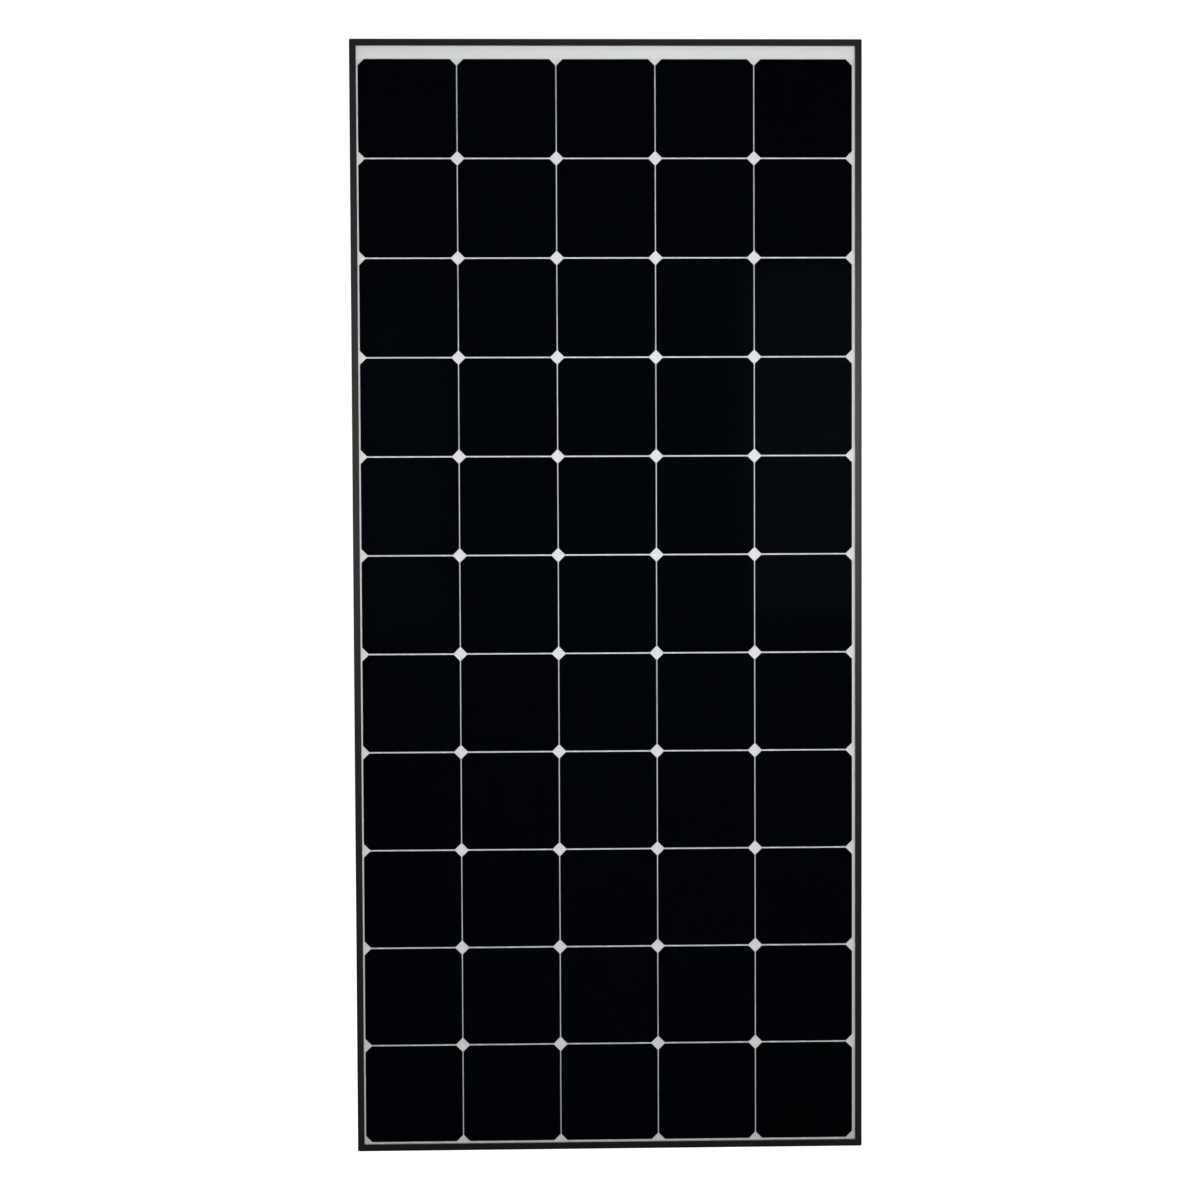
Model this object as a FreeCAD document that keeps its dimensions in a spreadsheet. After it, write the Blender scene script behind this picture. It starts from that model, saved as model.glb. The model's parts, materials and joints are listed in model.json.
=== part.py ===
import FreeCAD, Part
import os
import re
import Sketcher

os.makedirs("parts", exist_ok=True)
doc = FreeCAD.newDocument("solar_module")

# ---------------------------------------------------------------- sizes, in mm

SIZES = (
    ("frame_width", 655.0, "outside width of the frame"),
    ("frame_height", 1430.0, "outside height of the frame"),
    ("frame_depth", 35.0, "front face to rear face of the frame"),
    ("lip_width", 8.6, "front lip, outer face to inner edge"),
    ("lip_thick", 1.5, "thickness of the front lip"),
    ("rail_wall", 1.8, "outer wall of a rail"),
    ("rail_web", 1.5, "shelf and chamber walls of a rail"),
    ("chamber_reach", 9.5, "outer face to the inner wall of the key chamber"),
    ("chamber_end", 23.5, "front face to the rear of the key chamber"),
    ("flange_thick", 1.5, "thickness of the rear flange"),
    ("flange_long", 30.0, "rear flange width of the two long rails"),
    ("flange_short", 20.0, "rear flange width of the two short rails"),
    ("mitre_gap", 0.1, "gap between two mitred rail ends"),
    ("corner_cut", 1.6, "small flat across each outer corner"),
    ("edge_round", 0.8, "rounding of the outer front and rear edges"),
    ("slot_inset", 19.0, "outer face to the centre line of the rail slots"),
    ("slot_width", 9.0, "width of a mounting slot"),
    ("slot_length", 14.0, "overall length of a mounting slot"),
    ("slot_spacing", 900.0, "distance between the two slots of one rail"),
    ("earth_hole", 4.2, "diameter of the earthing holes"),
    ("earth_offset", 60.0, "earthing hole to the middle of the rail"),
    ("drain_width", 6.0, "width of a drain slot in a short rail"),
    ("drain_length", 16.0, "length of a drain slot in a short rail"),
    ("drain_offset", 215.0, "drain slot to the middle of a short rail"),
    ("key_length", 46.0, "length of each leg of a corner key"),
    ("key_play", 0.1, "clearance of a corner key in its chamber"),
    ("seal_thick", 0.5, "thickness of the foam tape"),
    ("seal_setback", 0.6, "foam tape edge to the edge of the front lip"),
    ("laminate_inset", 2.5, "outer face of the frame to the laminate edge"),
    ("glass_thick", 3.2, "front glass"),
    ("glass_arris", 0.5, "ground edge of the front glass"),
    ("film_thick", 0.45, "one encapsulant film"),
    ("cell_thick", 0.2, "cells and header cover strip"),
    ("tab_thick", 0.15, "interconnect tabs and bus ribbons"),
    ("back_thick", 0.35, "backsheet"),
    ("columns", 5, "cells across the width"),
    ("rows", 11, "cells up the height"),
    ("gap_x", 1.2, "gap between two columns of cells"),
    ("gap_z", 1.75, "gap between two rows of cells"),
    ("cell_corner", 8.0, "leg of the cropped cell corner"),
    ("margin_left", 1.9, "frame lip to the first column"),
    ("margin_right", 3.5, "last column to the frame lip"),
    ("margin_bottom", 2.0, "frame lip to the lowest row"),
    ("header_band", 16.1, "top row to the frame lip"),
    ("tab_width", 5.0, "width of an interconnect tab"),
    ("tab_hold", 4.0, "overlap of a tab on a cell"),
    ("tab_offset", 42.0, "outer tabs to the middle of the cell"),
    ("bus_width", 5.0, "width of a bus ribbon"),
    ("bus_row_one", 3.4, "top row of cells to the lower bus ribbon"),
    ("bus_row_two", 11.4, "top row of cells to the upper bus ribbon"),
    ("foot_bus_drop", 7.4, "lowest row of cells to the lower edge of its bus"),
    ("foot_bus_width", 3.9, "width of the bus ribbons under the lowest row"),
    ("ribbon_width", 6.0, "width of the ribbons led to the junction box"),
    ("ribbon_thick", 0.2, "thickness of those ribbons"),
    ("insulator_thick", 0.1, "insulating strip between ribbon and cells"),
    ("insulator_side", 1.5, "insulating strip beyond each ribbon edge"),
    ("ribbon_room", 0.5, "room in the rear film beside an insulator"),
    ("return_inset", 37.0, "last column's centre to the return ribbon"),
    ("tail_pitch", 24.0, "distance between two ribbon tails"),
    ("box_drop", 91.0, "frame top to the middle of the junction box"),
    ("box_half_width", 55.0, "half the width of the box base"),
    ("box_half_height", 45.0, "half the height of the box base"),
    ("box_depth", 18.0, "depth of the box base"),
    ("box_wall", 3.0, "side walls of the box base"),
    ("box_floor", 2.0, "floor of the box base"),
    ("box_corner", 4.0, "corner rounding of the box base"),
    ("glue_thick", 1.0, "adhesive under the box base"),
    ("glue_inset", 2.0, "adhesive edge inside the edge of the base"),
    ("exit_height", 33.0, "middle of the box to the ribbon exits"),
    ("window_half", 5.0, "half the height of the ribbon window"),
    ("window_half_width", 46.0, "half the width of the ribbon window"),
    ("exit_slot_width", 8.0, "width of a ribbon exit in the backsheet"),
    ("exit_slot_height", 3.0, "height of a ribbon exit in the backsheet"),
    ("seat_rise", 3.0, "terminal seat above the box floor"),
    ("seat_top", 24.0, "upper edge of the terminal seat"),
    ("seat_bottom", 12.0, "lower edge of the terminal seat, below the middle"),
    ("plate_thick", 1.0, "thickness of a terminal plate"),
    ("plate_half_width", 8.0, "half the width of a terminal plate"),
    ("plate_foot", 2.0, "lower edge of the two short plates"),
    ("output_foot", 10.0, "lower edge of the two output plates, below the middle"),
    ("screw_drop", 4.0, "terminal screws below the middle of the box"),
    ("screw_hole", 2.1, "radius of the screw hole in plate and clamp"),
    ("screw_shank", 1.85, "radius of a terminal screw shank"),
    ("screw_head", 3.5, "radius of a terminal screw head"),
    ("screw_head_thick", 2.4, "thickness of a terminal screw head"),
    ("screw_reach", 5.0, "length of the shank below the clamp"),
    ("clamp_thick", 1.2, "thickness of a cable clamp"),
    ("clip_thick", 1.0, "thickness of a ribbon clip"),
    ("clip_half_width", 5.0, "half the width of a ribbon clip"),
    ("clip_length", 6.0, "length of a ribbon clip"),
    ("clip_height", 15.0, "lower edge of a ribbon clip above the middle"),
    ("diode_radius", 2.6, "radius of a bypass diode"),
    ("diode_length", 9.0, "length of a bypass diode"),
    ("diode_height", 7.0, "diode axis above the middle of the box"),
    ("lead_size", 1.2, "width of a diode lead"),
    ("lead_reach", 11.0, "diode centre to the end of a lead"),
    ("gasket_thick", 1.0, "lid gasket"),
    ("gasket_width", 1.6, "width of the lid gasket"),
    ("gasket_inset", 0.7, "gasket edge inside the outer face of the wall"),
    ("lid_play", 0.15, "gap between gasket and closed lid"),
    ("lid_thick", 2.0, "lid plate"),
    ("skirt_thick", 1.8, "lid skirt"),
    ("skirt_play", 0.3, "lid skirt to the box wall"),
    ("hinge_out", 4.5, "hinge axis beyond the top wall of the box"),
    ("hinge_depth", 16.9, "hinge axis above the foot of the box"),
    ("hinge_clear", 3.1, "hinge axis to the nearest face of the lid skirt"),
    ("hinge_station", 35.0, "middle of the box to the middle of a hinge"),
    ("knuckle_radius", 3.0, "lid knuckles and base ears"),
    ("knuckle_half", 3.8, "half the width of a lid knuckle"),
    ("ear_gap", 0.2, "side gap between knuckle and ear"),
    ("ear_width", 4.0, "width of a base ear"),
    ("pin_radius", 1.25, "radius of a hinge pin"),
    ("pin_fit", 0.02, "clearance of a pin in the ears"),
    ("pin_run", 0.05, "clearance of a pin in the lid knuckle"),
    ("gland_offset", 28.0, "middle of the box to a cable gland"),
    ("gland_height", 10.5, "gland axis above the foot of the box"),
    ("thread_radius", 6.0, "outside of the gland thread"),
    ("gland_fit", 0.05, "gland in the wall of the box"),
    ("gland_inside", 4.0, "gland from the outer wall face inwards"),
    ("collar_step", 2.0, "gland collar beyond the thread"),
    ("collar_thick", 3.0, "gland collar thickness"),
    ("stub_length", 12.0, "gland thread outside the collar"),
    ("throat_radius", 3.6, "bore behind the gland seal"),
    ("seat_radius", 5.0, "bore that holds the gland seal"),
    ("seal_play", 0.1, "gland seal and claw in their bore"),
    ("seal_bore", 3.1, "bore of the gland seal"),
    ("seal_length", 8.0, "length of the gland seal"),
    ("claw_bore", 3.4, "bore of the gland claw"),
    ("claw_play", 0.2, "claw flange inside the thread radius"),
    ("claw_flange_thick", 1.4, "thickness of the claw flange"),
    ("claw_slit", 0.8, "width of a slit in the claw"),
    ("end_play", 0.2, "axial gaps in a tightened gland"),
    ("nut_wall", 1.9, "gland nut wall at the middle of a flat"),
    ("nut_run", 0.1, "gland nut over the thread"),
    ("nut_gap", 2.0, "gland collar to the tightened nut"),
    ("nut_end", 2.3, "end wall of the gland nut"),
    ("nut_hole", 3.5, "cable hole of the gland nut"),
    ("nut_chamfer", 1.2, "outer chamfer of the gland nut"),
)

dims = doc.addObject("Spreadsheet::Sheet", "Dims")
for row, (alias, amount, note) in enumerate(SIZES, start=1):
    dims.set(f"A{row}", note)
    dims.set(f"B{row}", str(amount))
    dims.setAlias(f"B{row}", alias)
doc.recompute()


def bound(text):
    """Turn an expression in plain size names into one the sheet understands."""
    return re.sub(r"[a-z][a-z_]+", lambda word: "Dims." + word.group(0), str(text))


def number(text):
    """Present value of an expression in size names."""
    return float(dims.evalExpression(bound(text)))


def negative(text):
    return f"-({text})"


# ------------------------------------------ places used by more than one piece
# Depths are counted from the front face of the frame.

GLASS_DEPTH = "(lip_thick + seal_thick)"
FRONT_FILM_DEPTH = f"({GLASS_DEPTH} + glass_thick)"
CELL_DEPTH = f"({FRONT_FILM_DEPTH} + film_thick)"
TAB_DEPTH = f"({CELL_DEPTH} + cell_thick)"
REAR_FILM_DEPTH = f"({TAB_DEPTH} + tab_thick)"
BACK_DEPTH = f"({REAR_FILM_DEPTH} + film_thick)"
LAMINATE_END = f"({BACK_DEPTH} + back_thick)"
SHELF_DEPTH = f"({LAMINATE_END} + seal_thick)"
CHAMBER_DEPTH = f"({SHELF_DEPTH} + rail_web)"
RIBBON_DEPTH = f"({REAR_FILM_DEPTH} + insulator_thick)"
BOX_FOOT_DEPTH = f"({LAMINATE_END} + glue_thick)"

# Widths are counted from the middle, heights from the lower edge of the frame.

LAMINATE_SIDE = "(frame_width / 2 - laminate_inset)"
LAMINATE_TOP = "(frame_height - laminate_inset)"
CELL_WIDTH = ("((frame_width - 2 * lip_width - margin_left - margin_right"
              " - (columns - 1) * gap_x) / columns)")
CELL_HEIGHT = ("((frame_height - 2 * lip_width - header_band - margin_bottom"
               " - (rows - 1) * gap_z) / rows)")
FIRST_LEFT = "(-frame_width / 2 + lip_width + margin_left)"
CELLS_BOTTOM = "(lip_width + margin_bottom)"
CELLS_TOP = "(frame_height - lip_width - header_band)"
BUS_ONE = f"({CELLS_TOP} + bus_row_one)"
BUS_TWO = f"({CELLS_TOP} + bus_row_two)"
FOOT_BUS = f"({CELLS_BOTTOM} - foot_bus_drop)"
BOX_MIDDLE = "(frame_height - box_drop)"
EXIT_LEVEL = f"({BOX_MIDDLE} + exit_height)"

COLUMNS = int(number("columns"))
ROWS = int(number("rows"))


def column_centre(column):
    """Middle of a column of cells; the first column is number 1."""
    return f"({FIRST_LEFT} + {column - 0.5} * {CELL_WIDTH} + {column - 1} * gap_x)"


def tail_place(tail):
    """Middle of ribbon tail 0 to 3, from left to right."""
    return f"({tail - 1.5} * tail_pitch)"


RETURN_PLACE = f"({column_centre(COLUMNS)} - return_inset)"

# ------------------------------------------------------------ drawing helpers

nodes = []


def new_body(label, x="0", depth="0", z="0"):
    """A Body placed by its middle line, its depth behind the front, its height."""
    body = doc.addObject("PartDesign::Body", label)
    body.Label = label
    body.setExpression("Placement.Base.x", bound(x))
    body.setExpression("Placement.Base.y", bound(f"{depth} - frame_depth / 2"))
    body.setExpression("Placement.Base.z", bound(z))
    nodes.append(body)
    return body


def new_sketch(body, plane, offset="0"):
    """A sketch on one of the body's own planes, lifted along its normal."""
    sketch = body.newObject("Sketcher::SketchObject", f"{body.Name}_sketch")
    support = [item for item in body.Origin.OriginFeatures if item.Role == plane + "_Plane"][0]
    sketch.AttachmentSupport = (support, "")
    sketch.MapMode = "FlatFace"
    sketch.setExpression("AttachmentOffset.Base.z", bound(offset))
    return sketch


def hold_point(sketch, edge, point, x, y):
    """Fix one point of a sketch by its two distances from the origin."""
    for kind, axis, text in (("DistanceX", -2, x), ("DistanceY", -1, y)):
        present = number(text)
        if abs(present) < 1e-9:
            sketch.addConstraint(Sketcher.Constraint("PointOnObject", edge, point, axis))
            continue
        place = sketch.addConstraint(Sketcher.Constraint(kind, -1, 1, edge, point, present))
        sketch.setExpression(f"Constraints[{place}]", bound(text))


def hold_radius(sketch, edge, radius):
    place = sketch.addConstraint(Sketcher.Constraint("Radius", edge, number(radius)))
    sketch.setExpression(f"Constraints[{place}]", bound(radius))


def draw_polygon(sketch, corners):
    """Closed outline through corners given as pairs of expressions."""
    first = sketch.GeometryCount
    points = [FreeCAD.Vector(number(x), number(y), 0) for x, y in corners]
    count = len(points)
    for index in range(count):
        following = (index + 1) % count
        sketch.addGeometry(Part.LineSegment(points[index], points[following]))
    for index in range(count):
        following = (index + 1) % count
        meet = Sketcher.Constraint("Coincident", first + index, 2, first + following, 1)
        sketch.addConstraint(meet)
        hold_point(sketch, first + index, 1, *corners[index])


def draw_rectangle(sketch, left, right, low, high):
    draw_polygon(sketch, ((left, low), (right, low), (right, high), (left, high)))


def draw_circle(sketch, x, y, radius):
    centre = FreeCAD.Vector(number(x), number(y), 0)
    edge = sketch.addGeometry(Part.Circle(centre, FreeCAD.Vector(0, 0, 1), number(radius)))
    hold_point(sketch, edge, 3, x, y)
    hold_radius(sketch, edge, radius)


def draw_upright_slot(sketch, x, y, width, length):
    """Slot with round ends, its long side along the sketch's second axis."""
    first = sketch.GeometryCount
    radius = number(width) / 2
    reach = f"({length} - {width}) / 2"
    across = number(x)
    low = number(f"{y} - {reach}")
    high = number(f"{y} + {reach}")
    normal = FreeCAD.Vector(0, 0, 1)
    upper = Part.Circle(FreeCAD.Vector(across, high, 0), normal, radius)
    lower = Part.Circle(FreeCAD.Vector(across, low, 0), normal, radius)
    half_turn = 3.141592653589793
    sketch.addGeometry(Part.ArcOfCircle(upper, 0, half_turn))
    sketch.addGeometry(Part.LineSegment(FreeCAD.Vector(across - radius, high, 0),
                                        FreeCAD.Vector(across - radius, low, 0)))
    sketch.addGeometry(Part.ArcOfCircle(lower, half_turn, 2 * half_turn))
    sketch.addGeometry(Part.LineSegment(FreeCAD.Vector(across + radius, low, 0),
                                        FreeCAD.Vector(across + radius, high, 0)))
    for index in range(4):
        following = first + (index + 1) % 4
        sketch.addConstraint(Sketcher.Constraint("Tangent", first + index, 2, following, 1))
    sketch.addConstraint(Sketcher.Constraint("Equal", first, first + 2))
    hold_point(sketch, first, 3, x, f"{y} + {reach}")
    hold_point(sketch, first + 2, 3, x, f"{y} - {reach}")
    hold_radius(sketch, first, f"{width} / 2")


def add_pad(body, sketch, length, backwards=False):
    feature = body.newObject("PartDesign::Pad", f"{body.Name}_pad")
    feature.Profile = sketch
    feature.setExpression("Length", bound(length))
    feature.Reversed = backwards
    body.Tip = feature
    return feature


def add_pocket(body, sketch, length, backwards=False):
    feature = body.newObject("PartDesign::Pocket", f"{body.Name}_pocket")
    feature.Profile = sketch
    feature.setExpression("Length", bound(length))
    feature.Reversed = backwards
    body.Tip = feature
    return feature


def add_row(body, feature, sketch, axis, spacing, count):
    """Repeat a feature along one axis of its sketch."""
    pattern = body.newObject("PartDesign::LinearPattern", f"{body.Name}_row")
    pattern.Originals = [feature]
    pattern.Direction = (sketch, [axis])
    pattern.Mode = "Spacing"
    pattern.setExpression("Offset", bound(spacing))
    pattern.setExpression("Occurrences", bound(count))
    body.Tip = pattern
    return pattern


def add_fillet(body, feature, radius, wanted):
    """Round the edges of a feature whose two end points both pass a test."""
    doc.recompute()
    names = []
    for index, edge in enumerate(feature.Shape.Edges, start=1):
        ends = [vertex.Point for vertex in edge.Vertexes]
        if len(ends) == 2 and wanted(*ends):
            names.append(f"Edge{index}")
    fillet = body.newObject("PartDesign::Fillet", f"{body.Name}_fillet")
    fillet.Base = (feature, names)
    fillet.setExpression("Radius", bound(radius))
    body.Tip = fillet
    return fillet


def layer(label, depth, thick, outlines):
    """A flat piece facing the front, one closed outline per separate solid."""
    body = new_body(label, depth=depth)
    sketch = new_sketch(body, "XZ")
    for outline in outlines:
        draw_polygon(sketch, outline)
    add_pad(body, sketch, thick, backwards=True)
    return body


def box_outline(left, right, low, high):
    return ((left, low), (right, low), (right, high), (left, high))


# ------------------------------------------------------------------ the frame

def mitred_bar(label, side, outlines, reach):
    """A bar of constant section along one side, mitred at both ends.

    Outlines are drawn with the distance inwards from the outer face first and
    the depth behind the front face second.
    """
    upright = side in ("left", "right")
    inwards = "1" if side in ("left", "bottom") else "-1"
    length = "frame_height" if upright else "frame_width"
    start = "frame_width / 2" if side == "right" else "-frame_width / 2"
    level = "frame_height" if side == "top" else "0"
    body = new_body(label, x=start, z=level)

    section = new_sketch(body, "XY" if upright else "YZ")
    for outline in outlines:
        corners = []
        for inward, depth in outline:
            across = f"{inwards} * ({inward})"
            corners.append((across, depth) if upright else (depth, across))
        draw_polygon(section, corners)
    add_pad(body, section, length)

    ends = new_sketch(body, "XZ", offset="1")
    waste = (("-2", "corner_cut + 2"),
             ("(corner_cut - mitre_gap) / 2", "(corner_cut + mitre_gap) / 2"),
             (f"{reach} + 2", f"{reach} + 2 + mitre_gap"),
             (f"{reach} + 2", "-2"),
             ("-2", "-2"))
    for far_end in (False, True):
        corners = []
        for inward, along in waste:
            across = f"{inwards} * ({inward})"
            run = f"{length} - ({along})" if far_end else along
            corners.append((across, run) if upright else (run, across))
        draw_polygon(ends, corners)
    mitre = add_pocket(body, ends, "frame_depth + 2")
    return body, mitre, inwards


def rail_outlines(flange):
    """Section of a frame rail and of the chamber that takes the corner keys."""
    flange_front = "frame_depth - flange_thick"
    outer = (("0", "0"), ("lip_width", "0"), ("lip_width", "lip_thick"),
             ("rail_wall", "lip_thick"), ("rail_wall", SHELF_DEPTH),
             ("chamber_reach", SHELF_DEPTH), ("chamber_reach", "chamber_end"),
             ("rail_wall", "chamber_end"), ("rail_wall", flange_front),
             (flange, flange_front), (flange, "frame_depth"), ("0", "frame_depth"))
    chamber = box_outline("rail_wall", "chamber_reach - rail_web",
                          CHAMBER_DEPTH, "chamber_end - rail_web")
    return outer, chamber


def make_rail(side):
    upright = side in ("left", "right")
    flange = "flange_long" if upright else "flange_short"
    body, mitre, inwards = mitred_bar(f"frame_rail_{side}", side, rail_outlines(flange), flange)

    def outer_edge(first, last):
        rail_axis = "x" if upright else "z"
        on_face = abs(getattr(first, rail_axis)) < 1e-4 and abs(getattr(last, rail_axis)) < 1e-4
        on_rim = abs(first.y - last.y) < 1e-4
        return on_face and on_rim

    add_fillet(body, mitre, "edge_round", outer_edge)
    holes = new_sketch(body, "XZ", offset="-(frame_depth - flange_thick - 1)")
    through = "flange_thick + 2"
    inset = f"{inwards} * slot_inset"
    if upright:
        draw_upright_slot(holes, inset, "(frame_height - slot_spacing) / 2",
                          "slot_width", "slot_length")
        slots = add_pocket(body, holes, through)
        add_row(body, slots, holes, "V_Axis", "slot_spacing", "2")
        earth = new_sketch(body, "XZ", offset="-(frame_depth - flange_thick - 1)")
        draw_circle(earth, inset, "frame_height / 2 - earth_offset", "earth_hole / 2")
        earthing = add_pocket(body, earth, through)
        add_row(body, earthing, earth, "V_Axis", "2 * earth_offset", "2")
    else:
        level = f"{inwards} * flange_short * 0.6"
        left = "frame_width / 2 - drain_offset - drain_length / 2"
        draw_rectangle(holes, left, f"{left} + drain_length",
                       f"{level} - drain_width / 2", f"{level} + drain_width / 2")
        drains = add_pocket(body, holes, through)
        add_row(body, drains, holes, "H_Axis", "2 * drain_offset", "2")


for side in ("left", "right", "top", "bottom"):
    make_rail(side)

TAPE_EDGE = "lip_width - seal_setback"
TAPE_OUTLINE = (("rail_wall", "lip_thick"), (TAPE_EDGE, "lip_thick"),
                (TAPE_EDGE, GLASS_DEPTH), ("laminate_inset", GLASS_DEPTH),
                ("laminate_inset", LAMINATE_END), (TAPE_EDGE, LAMINATE_END),
                (TAPE_EDGE, SHELF_DEPTH), ("rail_wall", SHELF_DEPTH))
for side in ("left", "right", "top", "bottom"):
    mitred_bar(f"edge_seal_{side}", side, (TAPE_OUTLINE,), "lip_width")


def make_corner_key(label, on_right, on_top):
    """L-shaped key with one leg in each of the two rails it joins."""
    across = "-1" if on_right else "1"
    upward = "-1" if on_top else "1"
    near = "rail_wall + key_play"
    far = "chamber_reach - rail_web - key_play"
    outline = ((near, near), ("key_length", near), ("key_length", far),
               (far, far), (far, "key_length"), (near, "key_length"))
    body = new_body(label, x="frame_width / 2" if on_right else "-frame_width / 2",
                    depth=f"({CHAMBER_DEPTH} + key_play)",
                    z="frame_height" if on_top else "0")
    sketch = new_sketch(body, "XZ")
    draw_polygon(sketch, [(f"{across} * ({x})", f"{upward} * ({z})") for x, z in outline])
    thick = f"chamber_end - rail_web - {CHAMBER_DEPTH} - 2 * key_play"
    add_pad(body, sketch, thick, backwards=True)


for on_top in (True, False):
    for on_right in (False, True):
        height_word = "top" if on_top else "bottom"
        side_word = "right" if on_right else "left"
        make_corner_key(f"corner_key_{height_word}_{side_word}", on_right, on_top)

# --------------------------------------------------------------- the laminate

LAMINATE_OUTLINE = box_outline(negative(LAMINATE_SIDE), LAMINATE_SIDE,
                               "laminate_inset", LAMINATE_TOP)

glass = layer("front_glass", GLASS_DEPTH, "glass_thick", (LAMINATE_OUTLINE,))
doc.recompute()
glass_plate = glass.Tip
arris_edges = []
for index, edge in enumerate(glass_plate.Shape.Edges, start=1):
    if edge.Length > number("glass_thick") * 2:
        arris_edges.append(f"Edge{index}")
arris = glass.newObject("PartDesign::Chamfer", "glass_arris_cut")
arris.Base = (glass_plate, arris_edges)
arris.setExpression("Size", bound("glass_arris"))
glass.Tip = arris

layer("front_encapsulant", FRONT_FILM_DEPTH, "film_thick", (LAMINATE_OUTLINE,))


def make_cell_string(column):
    """One column of cells, each a square with cropped corners."""
    body = new_body(f"cell_string_{column}", x=column_centre(column),
                    depth=CELL_DEPTH, z=CELLS_BOTTOM)
    sketch = new_sketch(body, "XZ")
    side = f"{CELL_WIDTH} / 2"
    cropped = f"({CELL_WIDTH} / 2 - cell_corner)"
    top = CELL_HEIGHT
    draw_polygon(sketch, ((negative(cropped), "0"), (cropped, "0"),
                          (side, "cell_corner"), (side, f"{top} - cell_corner"),
                          (cropped, top), (negative(cropped), top),
                          (negative(side), f"{top} - cell_corner"),
                          (negative(side), "cell_corner")))
    cell = add_pad(body, sketch, "cell_thick", backwards=True)
    add_row(body, cell, sketch, "V_Axis", f"{CELL_HEIGHT} + gap_z", "rows")


def make_interconnects(column):
    """Three tabs across every gap between two cells of one column."""
    body = new_body(f"cell_interconnects_{column}", x=column_centre(column),
                    depth=TAB_DEPTH, z=f"{CELLS_BOTTOM} + {CELL_HEIGHT}")
    sketch = new_sketch(body, "XZ")
    for place in (-1, 0, 1):
        middle = f"{place} * tab_offset"
        draw_rectangle(sketch, f"{middle} - tab_width / 2", f"{middle} + tab_width / 2",
                       "-tab_hold", "gap_z + tab_hold")
    tabs = add_pad(body, sketch, "tab_thick", backwards=True)
    add_row(body, tabs, sketch, "V_Axis", f"{CELL_HEIGHT} + gap_z", "rows - 1")


for column in range(1, COLUMNS + 1):
    make_cell_string(column)
    make_interconnects(column)


def comb_outline(first_column, last_column, bar_low, bar_high, tooth_end, upward):
    """Bus ribbon over some columns, with a tooth for each tab position."""
    teeth = []
    for column in range(first_column, last_column + 1):
        for place in (-1, 0, 1):
            teeth.append(f"({column_centre(column)} + {place} * tab_offset)")
    left = f"{teeth[0]} - tab_width / 2"
    right = f"{teeth[-1]} + tab_width / 2"
    root = bar_high if upward else bar_low
    back = bar_low if upward else bar_high
    corners = []
    for tooth in teeth:
        tooth_left = f"{tooth} - tab_width / 2"
        tooth_right = f"{tooth} + tab_width / 2"
        if tooth is not teeth[0]:
            corners.append((tooth_left, root))
        corners.append((tooth_left, tooth_end))
        corners.append((tooth_right, tooth_end))
        if tooth is not teeth[-1]:
            corners.append((tooth_right, root))
    corners.append((right, back))
    corners.append((left, back))
    return corners


TOP_TOOTH = f"({CELLS_TOP} - tab_hold)"
FOOT_TOOTH = f"({CELLS_BOTTOM} + tab_hold)"
BUS_ONE_TOP = f"({BUS_ONE} + bus_width)"
BUS_TWO_TOP = f"({BUS_TWO} + bus_width)"
TAIL_SIDE = "ribbon_width / 2"

top_bus = layer("top_bus_ribbons", TAB_DEPTH, "tab_thick", (
    comb_outline(1, 1, BUS_TWO, BUS_TWO_TOP, TOP_TOOTH, False),
    comb_outline(2, 3, BUS_ONE, BUS_ONE_TOP, TOP_TOOTH, False),
    comb_outline(4, 5, BUS_ONE, BUS_ONE_TOP, TOP_TOOTH, False)))
jumpers = new_sketch(top_bus, "XZ")
START_REACH = f"{column_centre(1)} + tab_offset"
draw_rectangle(jumpers, START_REACH, f"{tail_place(0)} + {TAIL_SIDE}", BUS_TWO, BUS_TWO_TOP)
JUMPER_LEFT = f"{column_centre(4)} - tab_offset - tab_width / 2"
JUMPER_RIGHT = f"{column_centre(4)} - tab_offset + tab_width / 2"
draw_polygon(jumpers, ((f"{tail_place(2)} - {TAIL_SIDE}", BUS_TWO),
                       (JUMPER_LEFT, BUS_TWO), (JUMPER_LEFT, BUS_ONE),
                       (JUMPER_RIGHT, BUS_ONE), (JUMPER_RIGHT, BUS_TWO_TOP),
                       (f"{tail_place(2)} - {TAIL_SIDE}", BUS_TWO_TOP)))
add_pad(top_bus, jumpers, "tab_thick", backwards=True)

FOOT_BUS_TOP = f"({FOOT_BUS} + foot_bus_width)"
layer("bottom_bus_ribbons", TAB_DEPTH, "tab_thick", (
    comb_outline(1, 2, FOOT_BUS, FOOT_BUS_TOP, FOOT_TOOTH, True),
    comb_outline(3, 4, FOOT_BUS, FOOT_BUS_TOP, FOOT_TOOTH, True),
    comb_outline(5, 5, FOOT_BUS, FOOT_BUS_TOP, FOOT_TOOTH, True)))

layer("header_cover_strip", CELL_DEPTH, "cell_thick", (
    box_outline(negative(f"({LAMINATE_SIDE} - 2)"), f"{LAMINATE_SIDE} - 2",
                f"{CELLS_TOP} + gap_z / 2", f"{LAMINATE_TOP} - 2"),))


def return_outline(side):
    """L-shaped run from the foot of the last column to the fourth ribbon exit."""
    half = f"(ribbon_width / 2 + {side})"
    run_left = f"{RETURN_PLACE} - {half}"
    run_right = f"{RETURN_PLACE} + {half}"
    exit_left = f"{tail_place(3)} - {half}"
    low = f"{EXIT_LEVEL} - {half}"
    high = f"{EXIT_LEVEL} + {half}"
    foot = FOOT_BUS if side == "0" else f"{CELLS_BOTTOM} - {side}"
    return ((exit_left, low), (run_left, low), (run_left, foot),
            (run_right, foot), (run_right, high), (exit_left, high))


def tail_strip(tail, side, top):
    """Upright strip behind the cells over one ribbon tail."""
    half = f"(ribbon_width / 2 + {side})"
    return box_outline(f"{tail_place(tail)} - {half}", f"{tail_place(tail)} + {half}",
                       f"{EXIT_LEVEL} - ribbon_width / 2 - {side}", top)


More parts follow.
